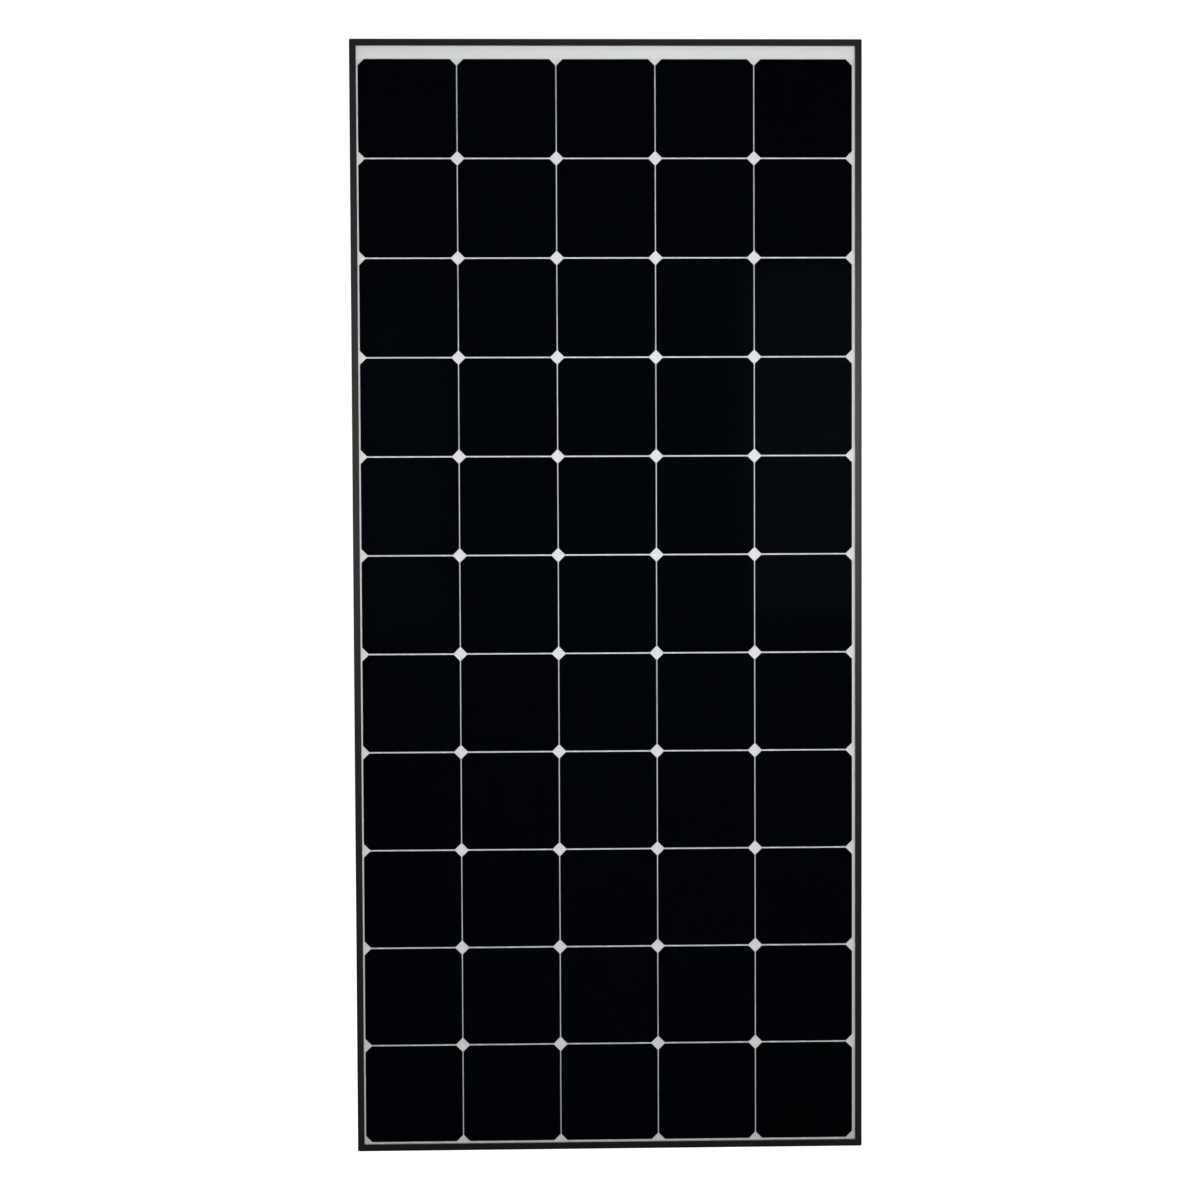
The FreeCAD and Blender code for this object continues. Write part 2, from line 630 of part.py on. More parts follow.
layer("return_ribbon", RIBBON_DEPTH, "ribbon_thick", (return_outline("0"),))
UNDER_ROW_TWO = f"{BUS_TWO} - 1"
UNDER_ROW_ONE = f"{BUS_ONE} - 1"
layer("ribbon_insulators", REAR_FILM_DEPTH, "insulator_thick", (
    tail_strip(0, "insulator_side", UNDER_ROW_TWO),
    tail_strip(1, "insulator_side", UNDER_ROW_ONE),
    tail_strip(2, "insulator_side", UNDER_ROW_TWO),
    return_outline("insulator_side")))

ROOM = "(insulator_side + ribbon_room)"
EXIT_SLOTS = []
for tail in range(4):
    EXIT_SLOTS.append(box_outline(
        f"{tail_place(tail)} - exit_slot_width / 2", f"{tail_place(tail)} + exit_slot_width / 2",
        f"{EXIT_LEVEL} - exit_slot_height / 2", f"{EXIT_LEVEL} + exit_slot_height / 2"))

rear_film = layer("rear_encapsulant", REAR_FILM_DEPTH, "film_thick",
                  (LAMINATE_OUTLINE, *EXIT_SLOTS))
hollows = new_sketch(rear_film, "XZ")
for tail in range(3):
    draw_polygon(hollows, tail_strip(tail, ROOM, f"{BUS_TWO_TOP} + 1"))
return_hollow = list(return_outline(ROOM))
for index in (2, 3):
    return_hollow[index] = (return_hollow[index][0], f"{FOOT_BUS} - ribbon_room")
draw_polygon(hollows, return_hollow)
add_pocket(rear_film, hollows, "insulator_thick + ribbon_thick")

layer("backsheet", BACK_DEPTH, "back_thick", (LAMINATE_OUTLINE, *EXIT_SLOTS))

# ----------------------------------------------------- ribbons to the terminals
# From here on a piece's heights are counted from the middle of the junction
# box and its depths from the foot of the box.

RIBBON_LEVEL = f"({RIBBON_DEPTH} - {BOX_FOOT_DEPTH})"
LAP_LEVEL = f"({REAR_FILM_DEPTH} - {BOX_FOOT_DEPTH})"
PLATE_LEVEL = "(box_floor + seat_rise)"
PLATE_TOP = f"({PLATE_LEVEL} + plate_thick)"


def new_box_body(label, x="0"):
    return new_body(label, x=x, depth=BOX_FOOT_DEPTH, z=BOX_MIDDLE)


tails = new_box_body("ribbon_tails")
for tail, lap in ((0, BUS_TWO), (1, BUS_ONE), (2, BUS_TWO), (3, None)):
    side_view = new_sketch(tails, "YZ", offset=f"{tail_place(tail)} - ribbon_width / 2")
    foot_end = "clip_height - 1"
    bend = "exit_height"
    inner_bend = "exit_height - ribbon_thick"
    rise = [(PLATE_TOP, foot_end), (f"{PLATE_TOP} + ribbon_thick", foot_end),
            (f"{PLATE_TOP} + ribbon_thick", bend)]
    if lap is None:
        rear_face = f"{RIBBON_LEVEL} + ribbon_thick"
        rise += [(rear_face, bend), (rear_face, inner_bend), (PLATE_TOP, inner_bend)]
    else:
        lap_low = f"{lap} - {BOX_MIDDLE}"
        lap_high = f"{lap} + bus_width - {BOX_MIDDLE}"
        rear_face = f"{RIBBON_LEVEL} + ribbon_thick"
        rise += [(rear_face, bend), (rear_face, lap_high), (LAP_LEVEL, lap_high),
                 (LAP_LEVEL, lap_low), (RIBBON_LEVEL, lap_low),
                 (RIBBON_LEVEL, inner_bend), (PLATE_TOP, inner_bend)]
    draw_polygon(side_view, rise)
    add_pad(tails, side_view, "ribbon_width")

plates = new_box_body("terminal_plates")
plate_sketch = new_sketch(plates, "XZ", offset=negative(PLATE_LEVEL))
for tail in range(4):
    output = tail in (0, 3)
    foot = "-output_foot" if output else "plate_foot"
    draw_rectangle(plate_sketch, f"{tail_place(tail)} - plate_half_width",
                   f"{tail_place(tail)} + plate_half_width", foot, "seat_top")
    if output:
        draw_circle(plate_sketch, tail_place(tail), "-screw_drop", "screw_hole")
add_pad(plates, plate_sketch, "plate_thick", backwards=True)

clips = new_box_body("ribbon_clips")
clip_view = new_sketch(clips, "XY", offset="clip_height")
CLIP_INNER = "(ribbon_width / 2 + 0.3)"
FIRST_TAIL = tail_place(0)
CLIP_UNDER = f"{PLATE_TOP} + ribbon_thick + 0.1"
CLIP_TOP = f"{CLIP_UNDER} + clip_thick"
draw_polygon(clip_view, (
    (f"{FIRST_TAIL} - clip_half_width", PLATE_TOP), (f"{FIRST_TAIL} - {CLIP_INNER}", PLATE_TOP),
    (f"{FIRST_TAIL} - {CLIP_INNER}", CLIP_UNDER), (f"{FIRST_TAIL} + {CLIP_INNER}", CLIP_UNDER),
    (f"{FIRST_TAIL} + {CLIP_INNER}", PLATE_TOP), (f"{FIRST_TAIL} + clip_half_width", PLATE_TOP),
    (f"{FIRST_TAIL} + clip_half_width", CLIP_TOP), (f"{FIRST_TAIL} - clip_half_width", CLIP_TOP)))
clip = add_pad(clips, clip_view, "clip_length")
add_row(clips, clip, clip_view, "H_Axis", "tail_pitch", "4")

clamps = new_box_body("cable_clamps")
clamp_sketch = new_sketch(clamps, "XZ", offset=negative(PLATE_TOP))
for tail in (0, 3):
    draw_rectangle(clamp_sketch, f"{tail_place(tail)} - 5", f"{tail_place(tail)} + 5",
                   "-screw_drop - 4", "-screw_drop + 4")
    draw_circle(clamp_sketch, tail_place(tail), "-screw_drop", "screw_hole")
add_pad(clamps, clamp_sketch, "clamp_thick", backwards=True)

CLAMP_TOP = f"({PLATE_TOP} + clamp_thick)"
screws = new_box_body("terminal_screws")
shanks = new_sketch(screws, "XZ", offset=negative(f"({CLAMP_TOP} - screw_reach)"))
heads = new_sketch(screws, "XZ", offset=negative(CLAMP_TOP))
recess = new_sketch(screws, "XZ", offset=negative(f"({CLAMP_TOP} + screw_head_thick / 2)"))
for tail in (0, 3):
    middle = tail_place(tail)
    draw_circle(shanks, middle, "-screw_drop", "screw_shank")
    draw_circle(heads, middle, "-screw_drop", "screw_head")
    long_arm = "screw_head * 0.6"
    short_arm = "screw_head * 0.16"
    cross = ((long_arm, short_arm), (short_arm, short_arm), (short_arm, long_arm))
    corners = []
    for turn in ((1, 1), (-1, 1), (-1, -1), (1, -1)):
        points = cross if turn[0] * turn[1] > 0 else tuple(reversed(cross))
        for x, z in points:
            corners.append((f"{middle} + {turn[0]} * {x}", f"{turn[1]} * {z} - screw_drop"))
    draw_polygon(recess, corners)
add_pad(screws, shanks, "screw_reach + 0.5", backwards=True)
add_pad(screws, heads, "screw_head_thick", backwards=True)
add_pocket(screws, recess, "screw_head_thick")

# A diode lies across each pair of neighbouring plates on two bent leads.
diodes = []
for place in (-1, 0, 1):
    middle = f"{place} * tail_pitch"
    height = f"{BOX_MIDDLE} + diode_height"
    axis_depth = f"({BOX_FOOT_DEPTH} + {PLATE_TOP} + diode_radius + 0.3)"
    barrel = doc.addObject("Part::Cylinder", "diode_barrel")
    barrel.setExpression("Radius", bound("diode_radius"))
    barrel.setExpression("Height", bound("diode_length"))
    barrel.Placement.Rotation = FreeCAD.Rotation(FreeCAD.Vector(0, 1, 0), 90)
    barrel.setExpression("Placement.Base.x", bound(f"{middle} - diode_length / 2"))
    barrel.setExpression("Placement.Base.y", bound(f"{axis_depth} - frame_depth / 2"))
    barrel.setExpression("Placement.Base.z", bound(height))
    lead = doc.addObject("Part::Box", "diode_lead")
    lead.setExpression("Length", bound("2 * lead_reach"))
    lead.setExpression("Width", bound("lead_size"))
    lead.setExpression("Height", bound("lead_size"))
    lead.setExpression("Placement.Base.x", bound(f"{middle} - lead_reach"))
    lead.setExpression("Placement.Base.y",
                       bound(f"{axis_depth} - lead_size / 2 - frame_depth / 2"))
    lead.setExpression("Placement.Base.z", bound(f"{height} - lead_size / 2"))
    pieces = [barrel, lead]
    for end in (-1, 1):
        foot = doc.addObject("Part::Box", "diode_foot")
        foot.setExpression("Length", bound("lead_size"))
        foot.setExpression("Width", bound("diode_radius + 0.3 + lead_size / 2"))
        foot.setExpression("Height", bound("lead_size"))
        foot.setExpression("Placement.Base.x", bound(
            f"{middle} + {end} * (lead_reach - lead_size / 2) - lead_size / 2"))
        foot.setExpression("Placement.Base.y", bound(
            f"{BOX_FOOT_DEPTH} + {PLATE_TOP} - frame_depth / 2"))
        foot.setExpression("Placement.Base.z", bound(f"{height} - lead_size / 2"))
        pieces.append(foot)
    diode = doc.addObject("Part::MultiFuse", "diode")
    diode.Shapes = pieces
    diodes.append(diode)
diode_group = doc.addObject("Part::Compound", "bypass_diodes")
diode_group.Links = diodes
diode_group.Label = "bypass_diodes"
nodes.append(diode_group)

# ------------------------------------------------------------ the junction box

INNER_SIDE = "(box_half_width - box_wall)"
INNER_TOP = "(box_half_height - box_wall)"

adhesive = new_body("jbox_adhesive", depth=LAMINATE_END, z=BOX_MIDDLE)
adhesive_sketch = new_sketch(adhesive, "XZ")
GLUE_SIDE = "(box_half_width - glue_inset)"
GLUE_TOP = "(box_half_height - glue_inset)"
draw_rectangle(adhesive_sketch, negative(GLUE_SIDE), GLUE_SIDE, negative(GLUE_TOP), GLUE_TOP)
draw_rectangle(adhesive_sketch, "-(window_half_width + 1)", "window_half_width + 1",
               "exit_height - window_half - 1", "exit_height + window_half + 1")
add_pad(adhesive, adhesive_sketch, "glue_thick", backwards=True)

base = new_box_body("jbox_base")
shell = new_sketch(base, "XZ")
draw_rectangle(shell, "-box_half_width", "box_half_width", "-box_half_height", "box_half_height")
block = add_pad(base, shell, "box_depth", backwards=True)
add_fillet(base, block, "box_corner", lambda first, last: abs(first.y - last.y) > 1)

cavity = new_sketch(base, "XZ", offset="-box_floor")
draw_rectangle(cavity, negative(INNER_SIDE), INNER_SIDE, negative(INNER_TOP), INNER_TOP)
add_pocket(base, cavity, "box_depth")

window = new_sketch(base, "XZ")
draw_rectangle(window, "-window_half_width", "window_half_width",
               "exit_height - window_half", "exit_height + window_half")
add_pocket(base, window, "box_floor + 1")

seat = new_sketch(base, "XZ", offset="-box_floor")
SEAT_SIDE = "(1.5 * tail_pitch + plate_half_width + 1)"
draw_rectangle(seat, negative(SEAT_SIDE), SEAT_SIDE, "-seat_bottom", "seat_top")
for tail in (0, 3):
    draw_circle(seat, tail_place(tail), "-screw_drop", "screw_hole")
add_pad(base, seat, "seat_rise", backwards=True)

gland_holes = new_sketch(base, "XY", offset="-box_half_height")
for side in ("-1", "1"):
    draw_circle(gland_holes, f"{side} * gland_offset", "gland_height", "thread_radius + gland_fit")
add_pocket(base, gland_holes, "box_wall", backwards=True)

HINGE_LINE = "(box_half_height + hinge_out)"
EAR_START = "(knuckle_half + ear_gap)"
for station in (-1, 1):
    for flank in (-1, 1):
        nearest = f"{station} * hinge_station"
        start = EAR_START if flank > 0 else f"-({EAR_START} + ear_width)"
        web = new_sketch(base, "YZ", offset=f"{nearest} + {start}")
        draw_polygon(web, (("hinge_depth - knuckle_radius", "box_half_height - 0.5"),
                           ("hinge_depth - knuckle_radius", HINGE_LINE),
                           ("hinge_depth + knuckle_radius", HINGE_LINE),
                           ("box_depth", "box_half_height + 1.5"),
                           ("box_depth", "box_half_height - 0.5")))
        add_pad(base, web, "ear_width")
        rounding = new_sketch(base, "YZ", offset=f"{nearest} + {start}")
        draw_circle(rounding, "hinge_depth", HINGE_LINE, "knuckle_radius")
        add_pad(base, rounding, "ear_width")
pin_holes = new_sketch(base, "YZ", offset="-box_half_width")
draw_circle(pin_holes, "hinge_depth", HINGE_LINE, "pin_radius + pin_fit")
add_pocket(base, pin_holes, "2 * box_half_width", backwards=True)

pins = new_box_body("jbox_hinge_pins")
PIN_HALF = "(knuckle_half + ear_gap + ear_width)"
for station in (-1, 1):
    pin = new_sketch(pins, "YZ", offset=f"{station} * hinge_station - {PIN_HALF}")
    draw_circle(pin, "hinge_depth", HINGE_LINE, "pin_radius")
    add_pad(pins, pin, f"2 * {PIN_HALF}")

gasket = new_box_body("jbox_lid_gasket")
ring = new_sketch(gasket, "XZ", offset="-box_depth")
for inset in ("gasket_inset", "(gasket_inset + gasket_width)"):
    draw_rectangle(ring, f"-(box_half_width - {inset})", f"box_half_width - {inset}",
                   f"-(box_half_height - {inset})", f"box_half_height - {inset}")
add_pad(gasket, ring, "gasket_thick", backwards=True)

COLLAR_RADIUS = "(thread_radius + collar_step)"

# The skirt stops close to the hinge axis so that it passes the wall as it turns.
LID_UNDER = "(box_depth + gasket_thick + lid_play)"
LID_TOP = f"({LID_UNDER} + lid_thick)"
SKIRT_RIM = "(hinge_depth - hinge_clear)"
LID_SIDE = "(box_half_width + skirt_play + skirt_thick)"
LID_FOOT = "(box_half_height + skirt_play + skirt_thick)"
LID_HEAD_INNER = f"({HINGE_LINE} - hinge_clear)"
LID_HEAD = f"({LID_HEAD_INNER} + 1.5)"
lid = new_box_body("jbox_lid")
lid_block = new_sketch(lid, "XZ", offset=negative(SKIRT_RIM))
draw_rectangle(lid_block, negative(LID_SIDE), LID_SIDE, negative(LID_FOOT), LID_HEAD)
lid_pad = add_pad(lid, lid_block, f"{LID_TOP} - {SKIRT_RIM}", backwards=True)
lid_corners = add_fillet(lid, lid_pad, "box_corner + skirt_thick",
                         lambda first, last: abs(first.y - last.y) > 1)


def lid_rim(first, last):
    """Edges around the outer face of the lid."""
    outside = number(LID_TOP)
    return abs(first.y - outside) < 1e-4 and abs(last.y - outside) < 1e-4


add_fillet(lid, lid_corners, "lid_thick / 2", lid_rim)
lid_hollow = new_sketch(lid, "XZ", offset=negative(SKIRT_RIM))
draw_rectangle(lid_hollow, "-(box_half_width + skirt_play)", "box_half_width + skirt_play",
               "-(box_half_height + skirt_play)", LID_HEAD_INNER)
add_pocket(lid, lid_hollow, f"{LID_UNDER} - {SKIRT_RIM}")

# Openings for the ears of the base and, at the foot, for the two glands.
lid_notches = new_sketch(lid, "XZ", offset=negative(SKIRT_RIM))
NOTCH_HALF = f"({PIN_HALF} + ear_gap)"
for station in ("-hinge_station", "hinge_station"):
    draw_rectangle(lid_notches, f"{station} - {NOTCH_HALF}", f"{station} + {NOTCH_HALF}",
                   "box_half_height + 0.9", f"{LID_HEAD} + 1")
add_pocket(lid, lid_notches, f"{LID_TOP} - {SKIRT_RIM} + 1")
gland_notches = new_sketch(lid, "XZ", offset=negative(SKIRT_RIM))
for side in ("-gland_offset", "gland_offset"):
    draw_rectangle(gland_notches, f"{side} - {COLLAR_RADIUS} - 1", f"{side} + {COLLAR_RADIUS} + 1",
                   f"-({LID_FOOT} + 1)", "-(box_half_height + skirt_play)")
add_pocket(lid, gland_notches, f"{LID_UNDER} - {SKIRT_RIM}")

for station in ("-hinge_station", "hinge_station"):
    arm = new_sketch(lid, "YZ", offset=f"{station} - knuckle_half")
    arm_end = f"{HINGE_LINE} + knuckle_radius"
    draw_polygon(arm, (("hinge_depth", LID_HEAD_INNER), (LID_UNDER, LID_HEAD_INNER),
                       (LID_UNDER, "box_half_height"), (LID_TOP, "box_half_height"),
                       (LID_TOP, f"{arm_end} - 1.5"), (f"{LID_TOP} - 1.5", arm_end),
                       ("hinge_depth", arm_end)))
    add_pad(lid, arm, "2 * knuckle_half")
    knuckle = new_sketch(lid, "YZ", offset=f"{station} - knuckle_half")
    draw_circle(knuckle, "hinge_depth", HINGE_LINE, "knuckle_radius")
    add_pad(lid, knuckle, "2 * knuckle_half")
lid_bore = new_sketch(lid, "YZ", offset="-box_half_width")
draw_circle(lid_bore, "hinge_depth", HINGE_LINE, "pin_radius + pin_run")
add_pocket(lid, lid_bore, "2 * box_half_width", backwards=True)

finger_tab = new_sketch(lid, "XZ", offset=negative(f"({LID_UNDER} - 1)"))
draw_rectangle(finger_tab, "-9", "9", f"-({LID_FOOT} + 2.4)", f"-({LID_FOOT} - 0.5)")
add_pad(lid, finger_tab, "1.8", backwards=True)
panel = new_sketch(lid, "XZ", offset=negative(f"({LID_TOP} - 0.4)"))
draw_rectangle(panel, "-34", "34", "-20", "20")
add_pocket(lid, panel, "1")

# ------------------------------------------------------------ the cable glands
# Heights are counted from the outer face of the box's lower wall; the gland
# points down.

SEAL_RADIUS = "(seat_radius - seal_play)"
CLAW_FLANGE = "(thread_radius - claw_play)"
NUT_BORE = "(thread_radius + nut_run)"
NUT_FLAT = f"({NUT_BORE} + nut_wall)"
STUB_END = "(collar_thick + stub_length)"
SEAT_END = "(collar_thick + 1)"
SEAL_END = f"({SEAT_END} + seal_length)"
CLAW_START = f"({SEAL_END} + end_play)"
FLANGE_START = f"({STUB_END} + end_play)"
FLANGE_END = f"({FLANGE_START} + claw_flange_thick)"
NUT_START = "(collar_thick + nut_gap)"
NUT_INNER = f"({FLANGE_END} + end_play)"
NUT_OUTER = f"({NUT_INNER} + nut_end)"


def new_gland_body(label, side):
    return new_body(label, x=f"{side} * gland_offset", depth=f"({BOX_FOOT_DEPTH} + gland_height)",
                    z=f"{BOX_MIDDLE} - box_half_height")


def turned(body, outline):
    """Revolve an outline of radius and height around the upright axis."""
    sketch = new_sketch(body, "XZ")
    draw_polygon(sketch, outline)
    feature = body.newObject("PartDesign::Revolution", f"{body.Name}_turned")
    feature.Profile = sketch
    feature.ReferenceAxis = (sketch, ["V_Axis"])
    feature.Angle = 360
    body.Tip = feature
    return feature


for word, side in (("left", "-1"), ("right", "1")):
    turned(new_gland_body(f"gland_body_{word}", side), (
        ("throat_radius", "gland_inside"), ("thread_radius", "gland_inside"),
        ("thread_radius", "0"), (COLLAR_RADIUS, "0"),
        (COLLAR_RADIUS, "-collar_thick"), ("thread_radius", "-collar_thick"),
        ("thread_radius", negative(STUB_END)), ("seat_radius", negative(STUB_END)),
        ("seat_radius", negative(SEAT_END)), ("throat_radius", negative(SEAT_END))))

    turned(new_gland_body(f"gland_seal_{word}", side), (
        ("seal_bore", negative(SEAT_END)), (SEAL_RADIUS, negative(SEAT_END)),
        (SEAL_RADIUS, negative(SEAL_END)), ("seal_bore", negative(SEAL_END))))

    claw = new_gland_body(f"gland_claw_{word}", side)
    turned(claw, (
        ("claw_bore", negative(CLAW_START)), (SEAL_RADIUS, negative(CLAW_START)),
        (SEAL_RADIUS, negative(FLANGE_START)), (CLAW_FLANGE, negative(FLANGE_START)),
        (CLAW_FLANGE, negative(FLANGE_END)), ("claw_bore", negative(FLANGE_END))))
    slit = new_sketch(claw, "XZ", offset=negative(CLAW_FLANGE))
    draw_rectangle(slit, "-claw_slit / 2", "claw_slit / 2",
                   f"-({STUB_END} - 0.6)", f"-({CLAW_START} - 1)")
    slit_cut = add_pocket(claw, slit, CLAW_FLANGE, backwards=True)
    slits = claw.newObject("PartDesign::PolarPattern", f"{claw.Name}_slits")
    slits.Originals = [slit_cut]
    slits.Axis = (slit, ["V_Axis"])
    slits.Angle = 360
    slits.Occurrences = 6
    claw.Tip = slits

    nut = new_gland_body(f"gland_nut_{word}", side)
    hexagon = new_sketch(nut, "XY", offset=negative(NUT_OUTER))
    flat = NUT_FLAT
    corner = f"({NUT_FLAT} * {2 / 3 ** 0.5:.9f})"
    draw_polygon(hexagon, (
        (flat, f"{corner} / 2"), ("0", corner), (negative(flat), f"{corner} / 2"),
        (negative(flat), f"-{corner} / 2"), ("0", negative(corner)), (flat, f"-{corner} / 2")))
    draw_circle(hexagon, "0", "0", "nut_hole")
    add_pad(nut, hexagon, f"{NUT_OUTER} - {NUT_START}")
    thread_bore = new_sketch(nut, "XY", offset=negative(NUT_INNER))
    draw_circle(thread_bore, "0", "0", NUT_BORE)
    add_pocket(nut, thread_bore, NUT_INNER, backwards=True)
    nut_edge = new_sketch(nut, "XZ")
    draw_polygon(nut_edge, (
        (f"{corner} + 0.5", negative(NUT_OUTER)), (f"{corner} + 0.5", f"-({NUT_OUTER} - nut_chamfer)"),
        (f"{corner}", f"-({NUT_OUTER} - nut_chamfer)"),
        (f"{corner} - 2 * nut_chamfer", negative(NUT_OUTER))))
    groove = nut.newObject("PartDesign::Groove", f"{nut.Name}_groove")
    groove.Profile = nut_edge
    groove.ReferenceAxis = (nut_edge, ["V_Axis"])
    groove.Angle = 360
    nut.Tip = groove

# ------------------------------------------------------------------ write out

doc.recompute()
for item in doc.Objects:
    faults = [state for state in item.State if state in ("Invalid", "Error")]
    if faults:
        raise RuntimeError(f"{item.Name} did not compute: {faults}")
for node in nodes:
    if node.Shape.isNull() or not node.Shape.isValid():
        raise RuntimeError(f"{node.Label} has no valid shape")
    node.Shape.exportStep(f"parts/{node.Label}.step")
    box = node.Shape.BoundBox
    print(f"{node.Label}: {len(node.Shape.Solids)} solids, {node.Shape.Volume:.1f} mm3, "
          f"x {box.XMin:.2f} {box.XMax:.2f} y {box.YMin:.2f} {box.YMax:.2f} "
          f"z {box.ZMin:.2f} {box.ZMax:.2f}")
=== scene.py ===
import json
import math

import bmesh
import bpy
from bpy.props import FloatProperty, FloatVectorProperty, IntProperty, PointerProperty
from mathutils import Euler, Matrix, Vector


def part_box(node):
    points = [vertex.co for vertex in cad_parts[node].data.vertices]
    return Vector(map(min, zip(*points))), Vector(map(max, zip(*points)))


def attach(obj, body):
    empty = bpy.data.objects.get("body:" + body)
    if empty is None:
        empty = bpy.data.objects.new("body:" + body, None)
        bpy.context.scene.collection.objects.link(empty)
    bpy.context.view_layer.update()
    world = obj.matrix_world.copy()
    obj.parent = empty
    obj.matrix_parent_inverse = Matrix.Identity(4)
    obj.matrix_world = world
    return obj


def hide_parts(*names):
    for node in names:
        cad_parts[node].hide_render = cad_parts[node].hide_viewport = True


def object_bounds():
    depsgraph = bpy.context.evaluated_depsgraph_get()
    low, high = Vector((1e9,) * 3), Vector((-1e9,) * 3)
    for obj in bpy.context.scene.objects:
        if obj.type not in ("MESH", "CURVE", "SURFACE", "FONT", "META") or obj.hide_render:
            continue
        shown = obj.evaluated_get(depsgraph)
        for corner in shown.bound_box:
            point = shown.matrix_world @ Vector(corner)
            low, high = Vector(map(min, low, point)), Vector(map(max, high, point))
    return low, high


bl_info = {
    "name": "Framed Solar Panel",
    "version": (1, 0, 0),
    "blender": (4, 5, 0),
    "location": "View3D > Sidebar > Solar Panel",
    "description": "Finishes a framed solar panel: rails, laminate, junction box and studio",
    "category": "Object",
}

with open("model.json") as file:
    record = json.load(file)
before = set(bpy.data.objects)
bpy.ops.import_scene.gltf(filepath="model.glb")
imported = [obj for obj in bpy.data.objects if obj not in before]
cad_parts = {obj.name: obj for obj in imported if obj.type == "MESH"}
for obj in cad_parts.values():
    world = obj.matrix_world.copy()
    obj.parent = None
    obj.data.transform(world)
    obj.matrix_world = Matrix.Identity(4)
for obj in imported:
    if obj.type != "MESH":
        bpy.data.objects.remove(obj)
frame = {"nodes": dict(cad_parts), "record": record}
CAD_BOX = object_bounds()
MM = 0.001

UPRIGHT_RAILS = ("frame_rail_left", "frame_rail_right")
LEVEL_RAILS = ("frame_rail_top", "frame_rail_bottom")
COLUMNS = 5
ROWS = 11
CELL_STRINGS = tuple(f"cell_string_{column}" for column in range(1, COLUMNS + 1))
TAB_GROUPS = tuple(f"cell_interconnects_{column}" for column in range(1, COLUMNS + 1))
SIDES = ("left", "right")
ENDS = ("top", "bottom")
EDGE_SEALS = tuple(f"edge_seal_{side}" for side in SIDES + ENDS)
CORNER_KEYS = tuple(f"corner_key_{end}_{side}" for end in ENDS for side in SIDES)

SMOOTH_ANGLE = math.radians(35.0)
SHARP_ANGLE = math.radians(32.0)
FLAT_ANGLE = math.radians(0.6)
TOUCHING = 1e-6


# ---------- properties

def colour_setting(name, description, default):
    return FloatVectorProperty(name=name, description=description, default=default,
                               subtype="COLOR", size=3, min=0, max=1)


def share_setting(name, description, default):
    return FloatProperty(name=name, description=description, default=default,
                         subtype="FACTOR", min=0, max=1)


def length_setting(name, description, default):
    return FloatProperty(name=name, description=description, default=default,
                         subtype="DISTANCE", unit="LENGTH", min=0)


def power_setting(name, description, default):
    return FloatProperty(name=name, description=description, default=default,
                         subtype="POWER", unit="POWER", min=0)


class FrameFinish(bpy.types.PropertyGroup):
    """Finish of the anodised rails and of what is held in them."""

    anodise_colour: colour_setting(
        "Anodised colour", "Colour of the dyed aluminium", (0.0030, 0.0030, 0.0031))
    anodise_roughness: share_setting(
        "Anodised roughness", "Roughness of the satin surface", 0.38)
    edge_radius: length_setting(
        "Edge radius", "Small radius on every edge of a rail", 0.25 * MM)
    foam_colour: colour_setting(
        "Foam tape colour", "Colour of the tape around the laminate", (0.012, 0.012, 0.012))


class LaminateFinish(bpy.types.PropertyGroup):
    """Finish of the glass, the cells and the white sheet behind them."""

    glass_cover: share_setting(
        "Glass cover", "How much the glass hides when seen head on", 0.003)
    glass_grazing_cover: share_setting(
        "Grazing cover", "How much the glass hides when seen edge on", 0.08)
    cell_gloss: share_setting(
        "Cell gloss", "Gloss over the cells when seen edge on", 0.8)
    cell_colour: colour_setting(
        "Cell colour", "Colour of the coated silicon", (0.0004, 0.0010, 0.0019))
    cell_tint: colour_setting(
        "Cell tint", "Colour that some cells lean towards", (0.0007, 0.0014, 0.0034))
    backsheet_colour: colour_setting(
        "Backsheet colour", "Colour of the white sheet", (0.75, 0.76, 0.755))
    header_colour: colour_setting(
        "Header colour", "Colour of the strip above the cells", (0.81, 0.825, 0.82))
    tin_colour: colour_setting(
        "Ribbon colour", "Colour of tinned copper", (0.62, 0.62, 0.61))


class BoxFinish(bpy.types.PropertyGroup):
    """Finish of the junction box and its cable glands."""

    plastic_colour: colour_setting(
        "Plastic colour", "Colour of the moulded box", (0.026, 0.026, 0.027))
    plastic_roughness: share_setting(
        "Plastic roughness", "Roughness of the moulded box", 0.47)
    grain_depth: length_setting(
        "Grain depth", "Depth of the spark-eroded grain", 0.05 * MM)
    moulded_radius: length_setting(
        "Moulded radius", "Radius on the edges of moulded pieces", 0.35 * MM)
    nut_ribs: IntProperty(
        name="Nut ribs", description="Grip ribs on each flat of a gland nut",
        min=0, max=6, default=3)


class StudioSettings(bpy.types.PropertyGroup):
    """Floor, lights and camera."""

    camera_place: FloatVectorProperty(
        name="Camera place", description="Where the camera stands",
        subtype="TRANSLATION", unit="LENGTH", size=3, default=(-0.0944, -3.1041, 0.8348))
    camera_turn: FloatVectorProperty(
        name="Camera turn", description="Rotation of the camera",
        subtype="EULER", unit="ROTATION", size=3,
        default=(math.radians(87.749), math.radians(0.243), math.radians(-1.562)))
    lens: FloatProperty(
        name="Lens", description="Focal length on a 36 mm wide sensor",
        subtype="DISTANCE_CAMERA", unit="CAMERA", min=10, default=72.0)
    sky: FloatProperty(
        name="Room light", description="Strength of the even light from all around",
        min=0, default=0.17)
    key_power: power_setting(
        "Key light", "Mean power of the two front softboxes; the right one is stronger", 6.3)
    fill_power: power_setting(
        "Fill light", "Power of the matt light in front of the panel", 6.0)
    top_power: power_setting("Top light", "Power of the overhead softbox", 4.0)
    side_power: power_setting("Side light", "Power of the softbox on each side", 16.0)
    rear_power: power_setting(
        "Rear light", "Power of the strongest softbox behind the panel", 37.0)


# ---------- material building

FLOAT = "NodeSocketFloat"
VECTOR = "NodeSocketVector"


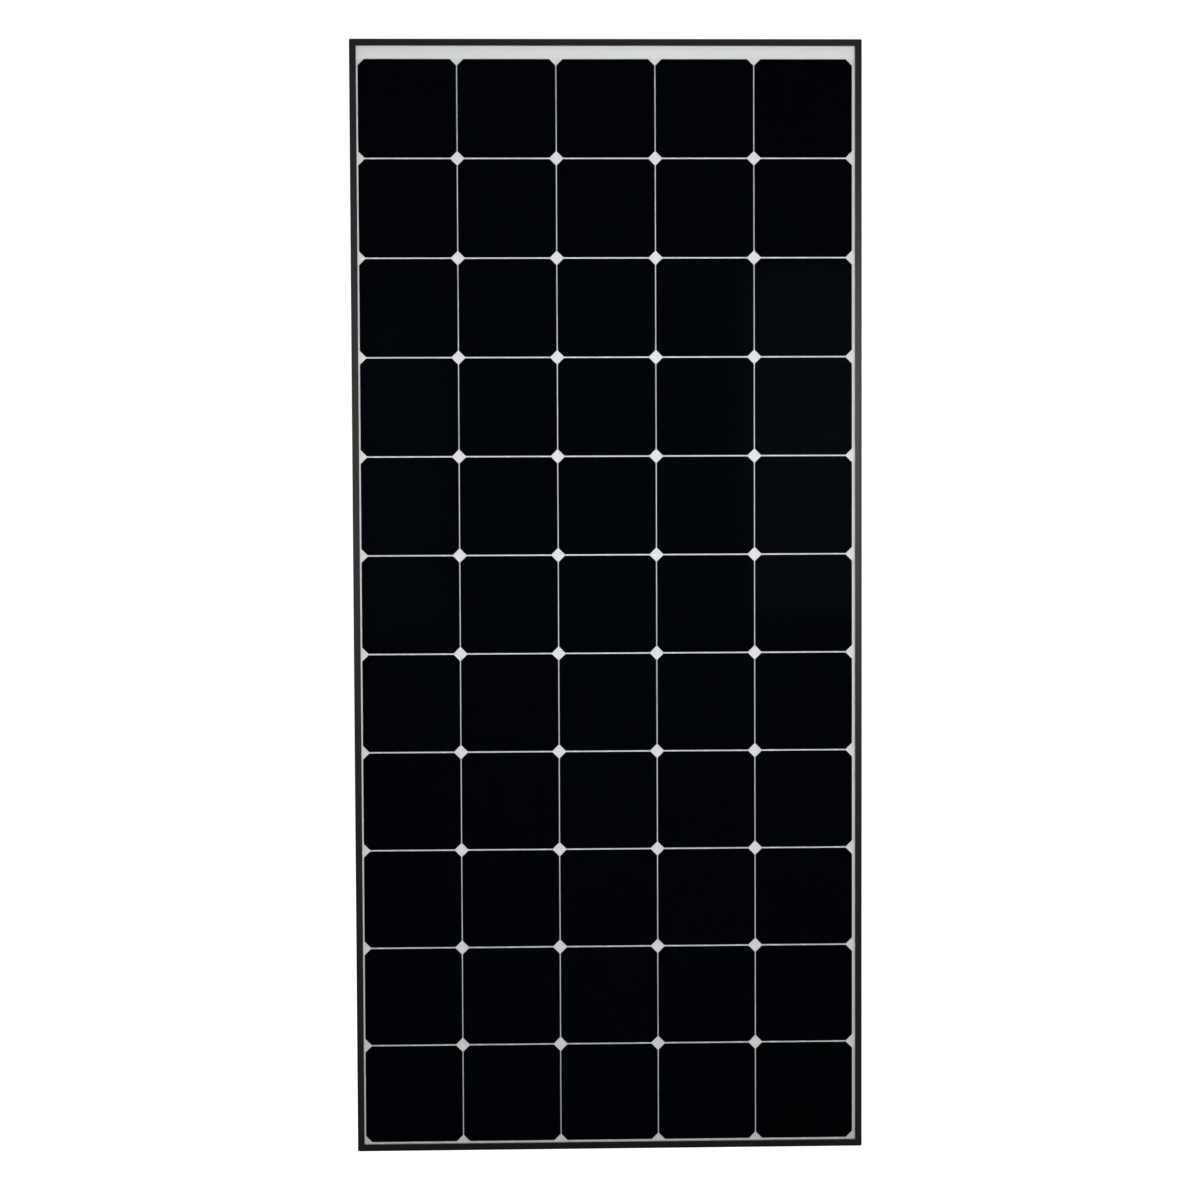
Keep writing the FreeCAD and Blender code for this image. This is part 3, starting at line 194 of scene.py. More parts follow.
def join(tree, source, socket):
    """Drive a socket by another one, or give it a plain value."""
    if isinstance(source, bpy.types.NodeSocket):
        tree.links.new(source, socket)
    else:
        socket.default_value = source


def feed(tree, node, **inputs):
    """Join inputs of a node; an underscore in a name stands for a space."""
    for name, source in inputs.items():
        join(tree, source, node.inputs[name.replace("_", " ")])


def place(tree, kind, **inputs):
    """Add a shader node to a tree and feed its inputs."""
    node = tree.nodes.new("ShaderNode" + kind)
    feed(tree, node, **inputs)
    return node


def math_node(tree, operation, *operands, clamp=False):
    """The result of a Math node; each operand is a socket or a number."""
    node = place(tree, "Math")
    node.operation = operation
    node.use_clamp = clamp
    for slot, operand in enumerate(operands):
        join(tree, operand, node.inputs[slot])
    return node.outputs[0]


def vector_math(tree, operation, first, second):
    """The outputs of a Vector Math node on two sockets."""
    node = place(tree, "VectorMath")
    node.operation = operation
    join(tree, first, node.inputs[0])
    join(tree, second, node.inputs[1])
    return node.outputs


def map_range(tree, source, low, high, to_low=0.0, to_high=1.0):
    """Map a value from one range to another, held at the ends of the second."""
    node = place(tree, "MapRange", Value=source, From_Min=low, From_Max=high,
                 To_Min=to_low, To_Max=to_high)
    node.clamp = True
    return node.outputs["Result"]


def mix_colour(tree, mask, first, second):
    """Blend two colours, each a socket or three numbers, by a mask."""
    node = place(tree, "Mix")
    node.data_type = "RGBA"
    join(tree, mask, node.inputs["Factor"])
    for name, colour in (("A", first), ("B", second)):
        socket = [item for item in node.inputs if item.name == name and item.type == "RGBA"][0]
        if not isinstance(colour, bpy.types.NodeSocket):
            colour = (*colour, 1.0)
        join(tree, colour, socket)
    return [item for item in node.outputs if item.type == "RGBA"][0]


def noise(tree, vector, scale, detail, roughness):
    """The value of a noise texture, from 0 to 1."""
    return place(tree, "TexNoise", Vector=vector, Scale=scale, Detail=detail,
                 Roughness=roughness).outputs["Fac"]


def bump(tree, height, depth):
    """The normal of a surface whose height, from 0 to 1, stands for a depth."""
    return place(tree, "Bump", Strength=1.0, Distance=depth, Height=height).outputs["Normal"]


def slant(tree):
    """0 where a surface faces the view, 1 where it is seen edge on."""
    return place(tree, "LayerWeight", Blend=0.25).outputs["Facing"]


def surface_normal(tree):
    return place(tree, "NewGeometry").outputs["Normal"]


def new_group(name, inputs, outputs):
    """A shader node group: its tree, the sockets that enter it and its end node.

    Besides the inputs named, each group takes a Vector.
    """
    group = bpy.data.node_groups.new(name, "ShaderNodeTree")
    for label, kind in {"Vector": VECTOR, **inputs}.items():
        group.interface.new_socket(label, in_out="INPUT", socket_type=kind)
    for label in outputs:
        group.interface.new_socket(label, in_out="OUTPUT", socket_type=FLOAT)
    start = group.nodes.new("NodeGroupInput")
    end = group.nodes.new("NodeGroupOutput")
    return group, start.outputs, end


def build_grain_group():
    """Fine even grain: a height and a slow cloudy mask."""
    group, start, end = new_group(
        "fine_grain", {"Grain per metre": FLOAT, "Cloud per metre": FLOAT}, ("Height", "Cloud"))
    feed(group, end,
         Height=noise(group, start["Vector"], start["Grain per metre"], 3.0, 0.6),
         Cloud=noise(group, start["Vector"], start["Cloud per metre"], 4.0, 0.55))
    return group


def build_drawn_group():
    """Streaks along one direction, as on an extruded or drawn surface."""
    group, start, end = new_group(
        "drawn_lines", {"Stretch": VECTOR, "Lines per metre": FLOAT}, ("Height", "Streak"))
    stretched = vector_math(group, "MULTIPLY", start["Vector"], start["Stretch"])["Vector"]
    fine = start["Lines per metre"]
    broad = math_node(group, "MULTIPLY", fine, 0.12)
    feed(group, end, Height=noise(group, stretched, fine, 4.0, 0.65),
         Streak=noise(group, stretched, broad, 2.0, 0.5))
    return group


def build_wear_group():
    """Mask that is 1 on convex edges, broken up by noise."""
    group, start, end = new_group("edge_wear", {"Radius": FLOAT, "Amount": FLOAT}, ("Mask",))
    rounded = place(group, "Bevel", Radius=start["Radius"])
    rounded.samples = 4
    turn = vector_math(group, "DOT_PRODUCT", rounded.outputs["Normal"], surface_normal(group))
    edge = map_range(group, turn["Value"], 0.97, 0.75)
    broken = noise(group, start["Vector"], 220.0, 5.0, 0.7)
    patch = map_range(group, broken, 0.42, 0.62)
    worn = math_node(group, "MULTIPLY", edge, patch)
    feed(group, end, Mask=math_node(group, "MULTIPLY", worn, start["Amount"], clamp=True))
    return group


def build_dust_group():
    """Thin dust that settles on faces that look up, in loose patches."""
    group, start, end = new_group("settled_dust", {"Amount": FLOAT}, ("Mask",))
    split = place(group, "SeparateXYZ", Vector=surface_normal(group))
    upward = map_range(group, split.outputs["Z"], 0.2, 0.95)
    patches = noise(group, start["Vector"], 60.0, 6.0, 0.7)
    spread = map_range(group, patches, 0.35, 0.75, 0.15, 1.0)
    settled = math_node(group, "MULTIPLY", upward, spread)
    feed(group, end, Mask=math_node(group, "MULTIPLY", settled, start["Amount"], clamp=True))
    return group


def build_cell_map_group():
    """Where a point lies in the grid of cells.

    Inside is 1 over a cell and 0 in the gaps, and Chance is one random number
    per cell. The cells are almost square, so their width serves both ways.
    """
    low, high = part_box("cell_string_1")
    last_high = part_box(f"cell_string_{COLUMNS}")[1]
    size = high.x - low.x
    pitch_x = (last_high.x - low.x - size) / (COLUMNS - 1)
    pitch_z = (high.z - low.z - size) / (ROWS - 1)
    group, start, end = new_group("cell_map", {"Softness": FLOAT}, ("Inside", "Chance"))
    split = place(group, "SeparateXYZ", Vector=start["Vector"])
    steps = []
    insides = []
    for axis, first, pitch in (("X", low.x, pitch_x), ("Z", low.z, pitch_z)):
        along = math_node(group, "DIVIDE",
                          math_node(group, "SUBTRACT", split.outputs[axis], first), pitch)
        steps.append(math_node(group, "FLOOR", along))
        part = math_node(group, "MULTIPLY", math_node(group, "FRACT", along), pitch / size)
        off_centre = math_node(group, "ABSOLUTE", math_node(group, "SUBTRACT", part, 0.5))
        edge_gap = math_node(group, "SUBTRACT", 0.5, off_centre)
        insides.append(math_node(group, "DIVIDE", edge_gap, start["Softness"], clamp=True))
    cell = place(group, "CombineXYZ", X=steps[0], Y=steps[1])
    chance = place(group, "TexWhiteNoise", Vector=cell.outputs["Vector"])
    feed(group, end, Inside=math_node(group, "MULTIPLY", *insides),
         Chance=chance.outputs["Value"])
    return group


GROUPS = {}
GROUP_BUILDERS = {
    "grain": build_grain_group,
    "drawn": build_drawn_group,
    "wear": build_wear_group,
    "dust": build_dust_group,
    "cells": build_cell_map_group,
}


def use_group(tree, key, **inputs):
    """The outputs of a shared effect placed in a material on Object coordinates."""
    if key not in GROUPS:
        GROUPS[key] = GROUP_BUILDERS[key]()
    node = place(tree, "Group")
    node.node_tree = GROUPS[key]
    feed(tree, node, Vector=object_coordinates(tree), **inputs)
    return node.outputs


def use_grain(tree, fine, cloud):
    """The grain effect; both sizes are counts per metre."""
    return use_group(tree, "grain", Grain_per_metre=fine, Cloud_per_metre=cloud)


def cloudy(tree, grain, low, high):
    """A value that drifts from low to high with the clouds of a grain."""
    return map_range(tree, grain["Cloud"], 0.3, 0.7, low, high)


def object_coordinates(tree):
    """The Object coordinates of a material, from one node in each tree."""
    for node in tree.nodes:
        if node.bl_idname == "ShaderNodeTexCoord":
            return node.outputs["Object"]
    return place(tree, "TexCoord").outputs["Object"]


def new_material(name, **inputs):
    """A material, its tree and its Principled surface with some inputs fed."""
    material = bpy.data.materials.new(name)
    material.use_nodes = True
    tree = material.node_tree
    surface = tree.nodes["Principled BSDF"]
    feed(tree, surface, **inputs)
    return material, tree, surface


def grained_material(name, counts, roughness, depth, **inputs):
    """A material with one grain, which drives its relief and its roughness.

    Counts are grains and clouds per metre, and roughness is its two ends.
    """
    material, tree, surface = new_material(name, **inputs)
    grain = use_grain(tree, *counts)
    feed(tree, surface, Roughness=cloudy(tree, grain, *roughness),
         Normal=bump(tree, grain["Height"], depth))
    return material, tree, surface, grain


def brighter(colour, factor):
    return tuple(min(1.0, part * factor) for part in colour)


def anodised_material(name, colour, roughness, stretch):
    """Black anodised aluminium with extrusion lines along the rail."""
    material, tree, surface = new_material(name, IOR=1.40)
    lines = use_group(tree, "drawn", Stretch=stretch, Lines_per_metre=1100.0)
    grain = use_grain(tree, 3200.0, 9.0)
    wear = use_group(tree, "wear", Radius=0.5 * MM, Amount=0.35)
    dust = use_group(tree, "dust", Amount=0.10)
    streak = map_range(tree, lines["Streak"], 0.3, 0.7)
    dyed = mix_colour(tree, streak, brighter(colour, 0.85), brighter(colour, 1.2))
    clouded = mix_colour(tree, map_range(tree, grain["Cloud"], 0.35, 0.7, 0.0, 0.5),
                         dyed, brighter(colour, 1.45))
    worn = mix_colour(tree, wear["Mask"], clouded, (0.09, 0.09, 0.092))
    fine = math_node(tree, "MULTIPLY", grain["Height"], 0.5)
    height = math_node(tree, "ADD", lines["Height"], fine)
    feed(tree, surface,
         Base_Color=mix_colour(tree, dust["Mask"], worn, (0.25, 0.24, 0.22)),
         Roughness=map_range(tree, lines["Streak"], 0.25, 0.75,
                             roughness - 0.06, roughness + 0.08),
         Normal=bump(tree, height, 0.02 * MM))
    return material


def milled_material():
    """Bare cast aluminium of the corner keys."""
    material, tree, surface, grain = grained_material(
        "cast_aluminium", (900.0, 40.0), (0.35, 0.55), 0.06 * MM, Metallic=1.0)
    feed(tree, surface,
         Base_Color=mix_colour(tree, grain["Cloud"], (0.48, 0.48, 0.49), (0.72, 0.72, 0.73)))
    return material


def foam_material(colour):
    """Closed-cell foam: matt, with small open pores on its skin, their hollows painted darker as
    painted shade.
    """
    material, tree, surface = new_material("foam_tape", Roughness=0.9, IOR=1.3)
    pores = place(tree, "TexVoronoi", Vector=object_coordinates(tree), Scale=1400.0)
    grain = use_grain(tree, 1800.0, 60.0)
    pore_depth_and_painted_shade = map_range(tree, pores.outputs["Distance"], 0.0, 0.5)
    height = math_node(tree, "ADD", pore_depth_and_painted_shade, grain["Height"])
    feed(tree, surface,
         # The pores are painted darker where they sink: painted shade in their hollows.
         Base_Color=mix_colour(tree, pore_depth_and_painted_shade, brighter(colour, 0.5), brighter(colour, 1.6)),
         Normal=bump(tree, height, 0.08 * MM))
    return material


def glass_material(cover, grazing_cover):
    """Coated low-iron glass: almost clear, a little less so at a slant."""
    material, tree, surface, grain = grained_material(
        "coated_glass", (700.0, 6.0), (0.05, 0.09), 0.001 * MM, IOR=1.5)
    steep = math_node(tree, "POWER", slant(tree), 2.2)
    feed(tree, surface, Alpha=map_range(tree, steep, 0.0, 1.0, cover, grazing_cover),
         Base_Color=mix_colour(tree, grain["Cloud"], (0.004, 0.006, 0.006),
                               (0.007, 0.009, 0.010)))
    return material


def film_material():
    """Clear encapsulant: a milky, faintly yellow rim."""
    material, tree, surface, grain = grained_material(
        "clear_film", (900.0, 30.0), (0.25, 0.4), 0.03 * MM, IOR=1.48)
    feed(tree, surface, Alpha=cloudy(tree, grain, 0.55, 0.75),
         Base_Color=mix_colour(tree, grain["Cloud"], (0.62, 0.63, 0.58), (0.72, 0.72, 0.66)))
    return material


def cell_material(colour, tint, gloss):
    """Coated silicon: near black, each cell a touch different, faint texture.

    Head on it has no shine. The coat gives it the gloss of the glass over it
    as the view turns edge on.
    """
    material, tree, surface, grain = grained_material(
        "coated_silicon", (1600.0, 22.0), (0.30, 0.42), 0.006 * MM,
        IOR=1.02, Coat_IOR=1.5, Coat_Roughness=0.05)
    cells = use_group(tree, "cells", Softness=0.035)
    own = mix_colour(tree, map_range(tree, cells["Chance"], 0.0, 1.0, 0.0, 0.55), colour, tint)
    clouded = mix_colour(tree, map_range(tree, grain["Cloud"], 0.45, 0.75, 0.0, 0.4), own, tint)
    rim = map_range(tree, cells["Inside"], 0.0, 1.0, 0.5, 0.0)
    feed(tree, surface, Base_Color=mix_colour(tree, rim, clouded, brighter(tint, 1.3)),
         Coat_Weight=map_range(tree, slant(tree), 0.03, 0.45, 0.0, gloss))
    return material


def white_sheet_material(name, colour, relief, see_through):
    """White polymer sheet.

    Relief is how far the cells press through it, see_through how dark they
    look behind it.
    """
    material, tree, surface = new_material(name, IOR=1.42)
    grain = use_grain(tree, 1300.0, 5.0)
    cells = use_group(tree, "cells", Softness=0.03)
    dust = use_group(tree, "dust", Amount=0.25)
    shade = map_range(tree, grain["Cloud"], 0.35, 0.7, 0.0, 0.6)
    clouded = mix_colour(tree, shade, colour, brighter(colour, 0.96))
    over_cell = math_node(tree, "MULTIPLY", cells["Inside"], see_through)
    plain = mix_colour(tree, over_cell, clouded, brighter(colour, 0.55))
    fine = math_node(tree, "MULTIPLY", grain["Height"], 0.02 * MM)
    raised = math_node(tree, "MULTIPLY", cells["Inside"], relief)
    height_in_metres = math_node(tree, "ADD", fine, raised)
    feed(tree, surface,
         Base_Color=mix_colour(tree, dust["Mask"], plain, (0.55, 0.53, 0.49)),
         Roughness=cloudy(tree, grain, 0.42, 0.58),
         Normal=bump(tree, height_in_metres, 1.0))
    return material


def tin_material(name, colour, roughness):
    """Tinned copper with flow marks and dull spots."""
    material, tree, surface = new_material(name, Metallic=1.0)
    grain = use_grain(tree, 700.0, 160.0)
    feed(tree, surface,
         Base_Color=mix_colour(tree, cloudy(tree, grain, 0.0, 1.0),
                               brighter(colour, 0.72), brighter(colour, 1.12)),
         Roughness=map_range(tree, grain["Cloud"], 0.3, 0.75,
                             roughness - 0.08, roughness + 0.2),
         Normal=bump(tree, grain["Height"], 0.04 * MM))
    return material


def coated_tab_material(front_colour, tin_colour):
    """Tabs that are white on the side that faces the glass and tinned behind."""
    material, tree, surface, grain = grained_material(
        "coated_tab", (900.0, 90.0), (0.4, 0.55), 0.02 * MM)
    split = place(tree, "SeparateXYZ", Vector=surface_normal(tree))
    behind = map_range(tree, split.outputs["Y"], 0.2, 0.6)
    white = mix_colour(tree, grain["Cloud"], brighter(front_colour, 0.97), front_colour)
    tin = mix_colour(tree, grain["Cloud"], brighter(tin_colour, 0.75), tin_colour)
    feed(tree, surface, Base_Color=mix_colour(tree, behind, white, tin), Metallic=behind)
    return material


def moulded_material(name, colour, roughness, grain_depth):
    """Moulded plastic with a spark-eroded grain, rubbed a little on its edges."""
    material, tree, surface, grain = grained_material(
        name, (2600.0, 30.0), (roughness - 0.07, roughness + 0.07), grain_depth, IOR=1.5)
    wear = use_group(tree, "wear", Radius=0.7 * MM, Amount=0.5)
    dust = use_group(tree, "dust", Amount=0.22)
    clouded = mix_colour(tree, cloudy(tree, grain, 0.0, 1.0),
                         brighter(colour, 0.85), brighter(colour, 1.25))
    rubbed = mix_colour(tree, wear["Mask"], clouded, brighter(colour, 3.2))
    feed(tree, surface, Base_Color=mix_colour(tree, dust["Mask"], rubbed, (0.20, 0.19, 0.17)))
    return material


def rubber_material(name, colour):
    """Silicone or rubber: dark, matt, with a soft bloom."""
    material, tree, surface, grain = grained_material(
        name, (1200.0, 70.0), (0.55, 0.75), 0.04 * MM, IOR=1.41)
    bloom = map_range(tree, grain["Cloud"], 0.45, 0.8, 0.0, 0.5)
    feed(tree, surface, Base_Color=mix_colour(tree, bloom, colour, brighter(colour, 2.0)))
    return material


def steel_material(name, colour, stretch):
    """Drawn or plated steel with fine lines."""
    material, tree, surface = new_material(name, Metallic=1.0)
    lines = use_group(tree, "drawn", Stretch=stretch, Lines_per_metre=4000.0)
    grain = use_grain(tree, 2000.0, 150.0)
    feed(tree, surface,
         Base_Color=mix_colour(tree, grain["Cloud"], brighter(colour, 0.75),
                               brighter(colour, 1.1)),
         Roughness=map_range(tree, lines["Streak"], 0.3, 0.7, 0.22, 0.38),
         Normal=bump(tree, lines["Height"], 0.01 * MM))
    return material


def diode_material():
    """Black moulded diode with a silver band near one end of each body."""
    diodes = 3
    length_with_leads = 22 * MM
    half_body = 4.55 * MM
    band_place = 2.9 * MM
    half_band = 0.6 * MM
    low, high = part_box("bypass_diodes")
    pitch = (high.x - low.x - length_with_leads) / (diodes - 1)
    middle = (low.x + high.x) / 2
    material, tree, surface, grain = grained_material(
        "diode_case", (3000.0, 200.0), (0.32, 0.46), 0.02 * MM, IOR=1.5)
    split = place(tree, "SeparateXYZ", Vector=object_coordinates(tree))
    shifted = math_node(tree, "ADD", split.outputs["X"], diodes / 2 * pitch - middle)
    turns = math_node(tree, "FRACT", math_node(tree, "DIVIDE", shifted, pitch))
    from_centre = math_node(tree, "SUBTRACT", math_node(tree, "MULTIPLY", turns, pitch), pitch / 2)
    lead = math_node(tree, "GREATER_THAN", math_node(tree, "ABSOLUTE", from_centre), half_body)
    off_band = math_node(tree, "ABSOLUTE", math_node(tree, "SUBTRACT", from_centre, band_place))
    band = math_node(tree, "LESS_THAN", off_band, half_band)
    metal = math_node(tree, "MAXIMUM", lead, band)
    body = mix_colour(tree, grain["Cloud"], (0.012, 0.012, 0.012), (0.024, 0.024, 0.024))
    feed(tree, surface, Metallic=lead,
         Base_Color=mix_colour(tree, metal, body, (0.58, 0.58, 0.57)))
    return material


# ---------- piece building

def add_object(name, data):
    """Link a new object to the scene."""
    item = bpy.data.objects.new(name, data)
    bpy.context.scene.collection.objects.link(item)
    return item


def add_mesh(name, mesh_builder):
    """Link a new object whose mesh is what a function adds to a bmesh."""
    mesh = bpy.data.meshes.new(name)
    bm = bmesh.new()
    mesh_builder(bm)
    bm.to_mesh(mesh)
    bm.free()
    return add_object(name, mesh)


def paint(piece, material):
    """Give every material slot of a piece one material."""
    if not piece.material_slots:
        piece.data.materials.append(material)
    for slot in piece.material_slots:
        slot.material = material


def paint_nodes(names, material):
    for name in names:
        paint(frame["nodes"][name], material)


def body_of_node(node_name):
    for body, members in frame["record"]["behaviour"]["bodies"].items():
        if node_name in members:
            return body
    raise RuntimeError(f"no body holds {node_name}")


def new_piece(name, mesh_builder, body, material, edge_radius=0.0, segments=2):
    """Add a smooth-shaded piece that rides on a body, its sharp edges softened."""
    piece = add_mesh(name, mesh_builder)
    for polygon in piece.data.polygons:
        polygon.use_smooth = True
    piece.data.set_sharp_from_angle(angle=SMOOTH_ANGLE)
    paint(piece, material)
    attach(piece, body)
    if edge_radius > 0:
        soften_edges(piece, edge_radius, segments)
    return piece


def soften_edges(piece, radius, segments):
    """Finish a piece with a small radius on its sharp edges."""
    bevel = piece.modifiers.new("edge_radius", "BEVEL")
    bevel.width = radius
    bevel.segments = segments
    bevel.profile = 0.5
    bevel.limit_method = "ANGLE"
    bevel.angle_limit = SHARP_ANGLE
    bevel.use_clamp_overlap = True
    bevel.harden_normals = True


def finished_copy(name, node_name, radius, material):
    """A cleaned copy of a CAD node with softened edges, in its place."""
    source = frame["nodes"][node_name]

    def copy_faces(bm):
        bm.from_mesh(source.data)
        bmesh.ops.remove_doubles(bm, verts=bm.verts, dist=TOUCHING)
        bmesh.ops.dissolve_limit(bm, angle_limit=FLAT_ANGLE, verts=bm.verts,
                                 edges=bm.edges, use_dissolve_boundaries=False)
        bmesh.ops.recalc_face_normals(bm, faces=bm.faces)

    piece = new_piece(name, copy_faces, body_of_node(node_name), material, radius)
    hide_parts(node_name)
    return piece


def box_between(bm, low, high):
    """Add a box between two corners and return its vertices."""
    low = Vector(low)
    high = Vector(high)
    size = high - low
    matrix = Matrix.Translation((low + high) / 2) @ Matrix.Diagonal((*size, 1.0))
    return bmesh.ops.create_cube(bm, size=1.0, matrix=matrix)["verts"]


def centred_row(count, spacing):
    """Places of a row of equally spaced pieces about zero."""
    return [(index - (count - 1) / 2) * spacing for index in range(count)]


def ring_plate(bm, columns, levels, low_y, high_y):
    """Fill an empty bmesh with an upright plate that has one window.

    Columns are the four x lines of the ring, levels its four z lines.
    """
    grid = [[bm.verts.new((x, low_y, z)) for z in levels] for x in columns]
    for column in range(3):
        for level in range(3):
            if (column, level) != (1, 1):
                near = grid[column]
                far = grid[column + 1]
                bm.faces.new((near[level], far[level], far[level + 1], near[level + 1]))
    made = bmesh.ops.extrude_face_region(bm, geom=bm.faces[:])
    moved = [item for item in made["geom"] if isinstance(item, bmesh.types.BMVert)]
    bmesh.ops.translate(bm, verts=moved, vec=(0.0, high_y - low_y, 0.0))
    bmesh.ops.recalc_face_normals(bm, faces=bm.faces)


def bevel_edges(bm, edges, offset, segments):
    bmesh.ops.bevel(bm, geom=edges, offset=offset, offset_type="OFFSET",
                    segments=segments, profile=0.5, affect="EDGES", material=-1,
                    clamp_overlap=True)


# ---------- operators

class FrameOperator(bpy.types.Operator):
    """Finish the four rails, the corner keys and the foam tape."""

    bl_idname = "solar_panel.frame"
    bl_label = "Frame"

    def execute(self, context):
        look = context.scene.solar_frame
        colour = look.anodise_colour
        line_scale = 0.008
        upright = anodised_material("anodised_upright", colour, look.anodise_roughness,
                                    (1.0, 1.0, line_scale))
        level = anodised_material("anodised_level", colour, look.anodise_roughness,
                                  (line_scale, 1.0, 1.0))
        for names, material in ((UPRIGHT_RAILS, upright), (LEVEL_RAILS, level)):
            for name in names:
                side = name.rsplit("_", 1)[1]
                piece = finished_copy(f"{side}_rail", name, look.edge_radius, material)
        paint_nodes(CORNER_KEYS, milled_material())
        paint_nodes(EDGE_SEALS, foam_material(look.foam_colour))
        return {"FINISHED"}


class LaminateOperator(bpy.types.Operator):
    """Finish the glass, films, cells, white strip and backsheet."""

    bl_idname = "solar_panel.laminate"
    bl_label = "Laminate"

    def execute(self, context):
        look = context.scene.solar_laminate
        glass = glass_material(look.glass_cover, look.glass_grazing_cover)
        paint_nodes(("front_glass",), glass)
        film = film_material()
        for name in ("front", "rear"):
            self.add_film_rim(f"{name}_film_rim", f"{name}_encapsulant", film)
        silicon = cell_material(look.cell_colour, look.cell_tint, look.cell_gloss)
        paint_nodes(CELL_STRINGS, silicon)
        sheet = white_sheet_material("white_backsheet", look.backsheet_colour,
                                     relief=0.18 * MM, see_through=0.09)
        paint_nodes(("backsheet",), sheet)
        strip = white_sheet_material("white_strip", look.header_colour,
                                     relief=0.0, see_through=0.0)
        paint_nodes(("header_cover_strip", "ribbon_insulators"), strip)
        return {"FINISHED"}

    def add_film_rim(self, name, node_name, material):
        """The rim of a clear film.

        The film is bonded to the glass and can't be told from it by eye, so
        only the rim that shows at the edge of the laminate is a surface.
        """
        low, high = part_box(node_name)
        rim_width = 6 * MM
        edge_radius = 0.08 * MM

        def rim(bm):
            ring_plate(bm, (low.x, low.x + rim_width, high.x - rim_width, high.x),
                       (low.z, low.z + rim_width, high.z - rim_width, high.z),
                       low.y, high.y)

        piece = new_piece(name, rim, body_of_node(node_name), material, edge_radius)
        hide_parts(node_name)


class RibbonOperator(bpy.types.Operator):
    """Finish the tabs between cells and the ribbons that lead to the box."""

    bl_idname = "solar_panel.ribbons"
    bl_label = "Tabs and ribbons"

    def execute(self, context):
        look = context.scene.solar_laminate
        tin = look.tin_colour
        coated = coated_tab_material(look.header_colour, tin)
        paint_nodes(TAB_GROUPS, coated)
        paint_nodes(("top_bus_ribbons", "bottom_bus_ribbons"), coated)
        plain_tin = tin_material("tinned_ribbon", tin, roughness=0.32)
        paint_nodes(("return_ribbon", "ribbon_tails"), plain_tin)
        return {"FINISHED"}


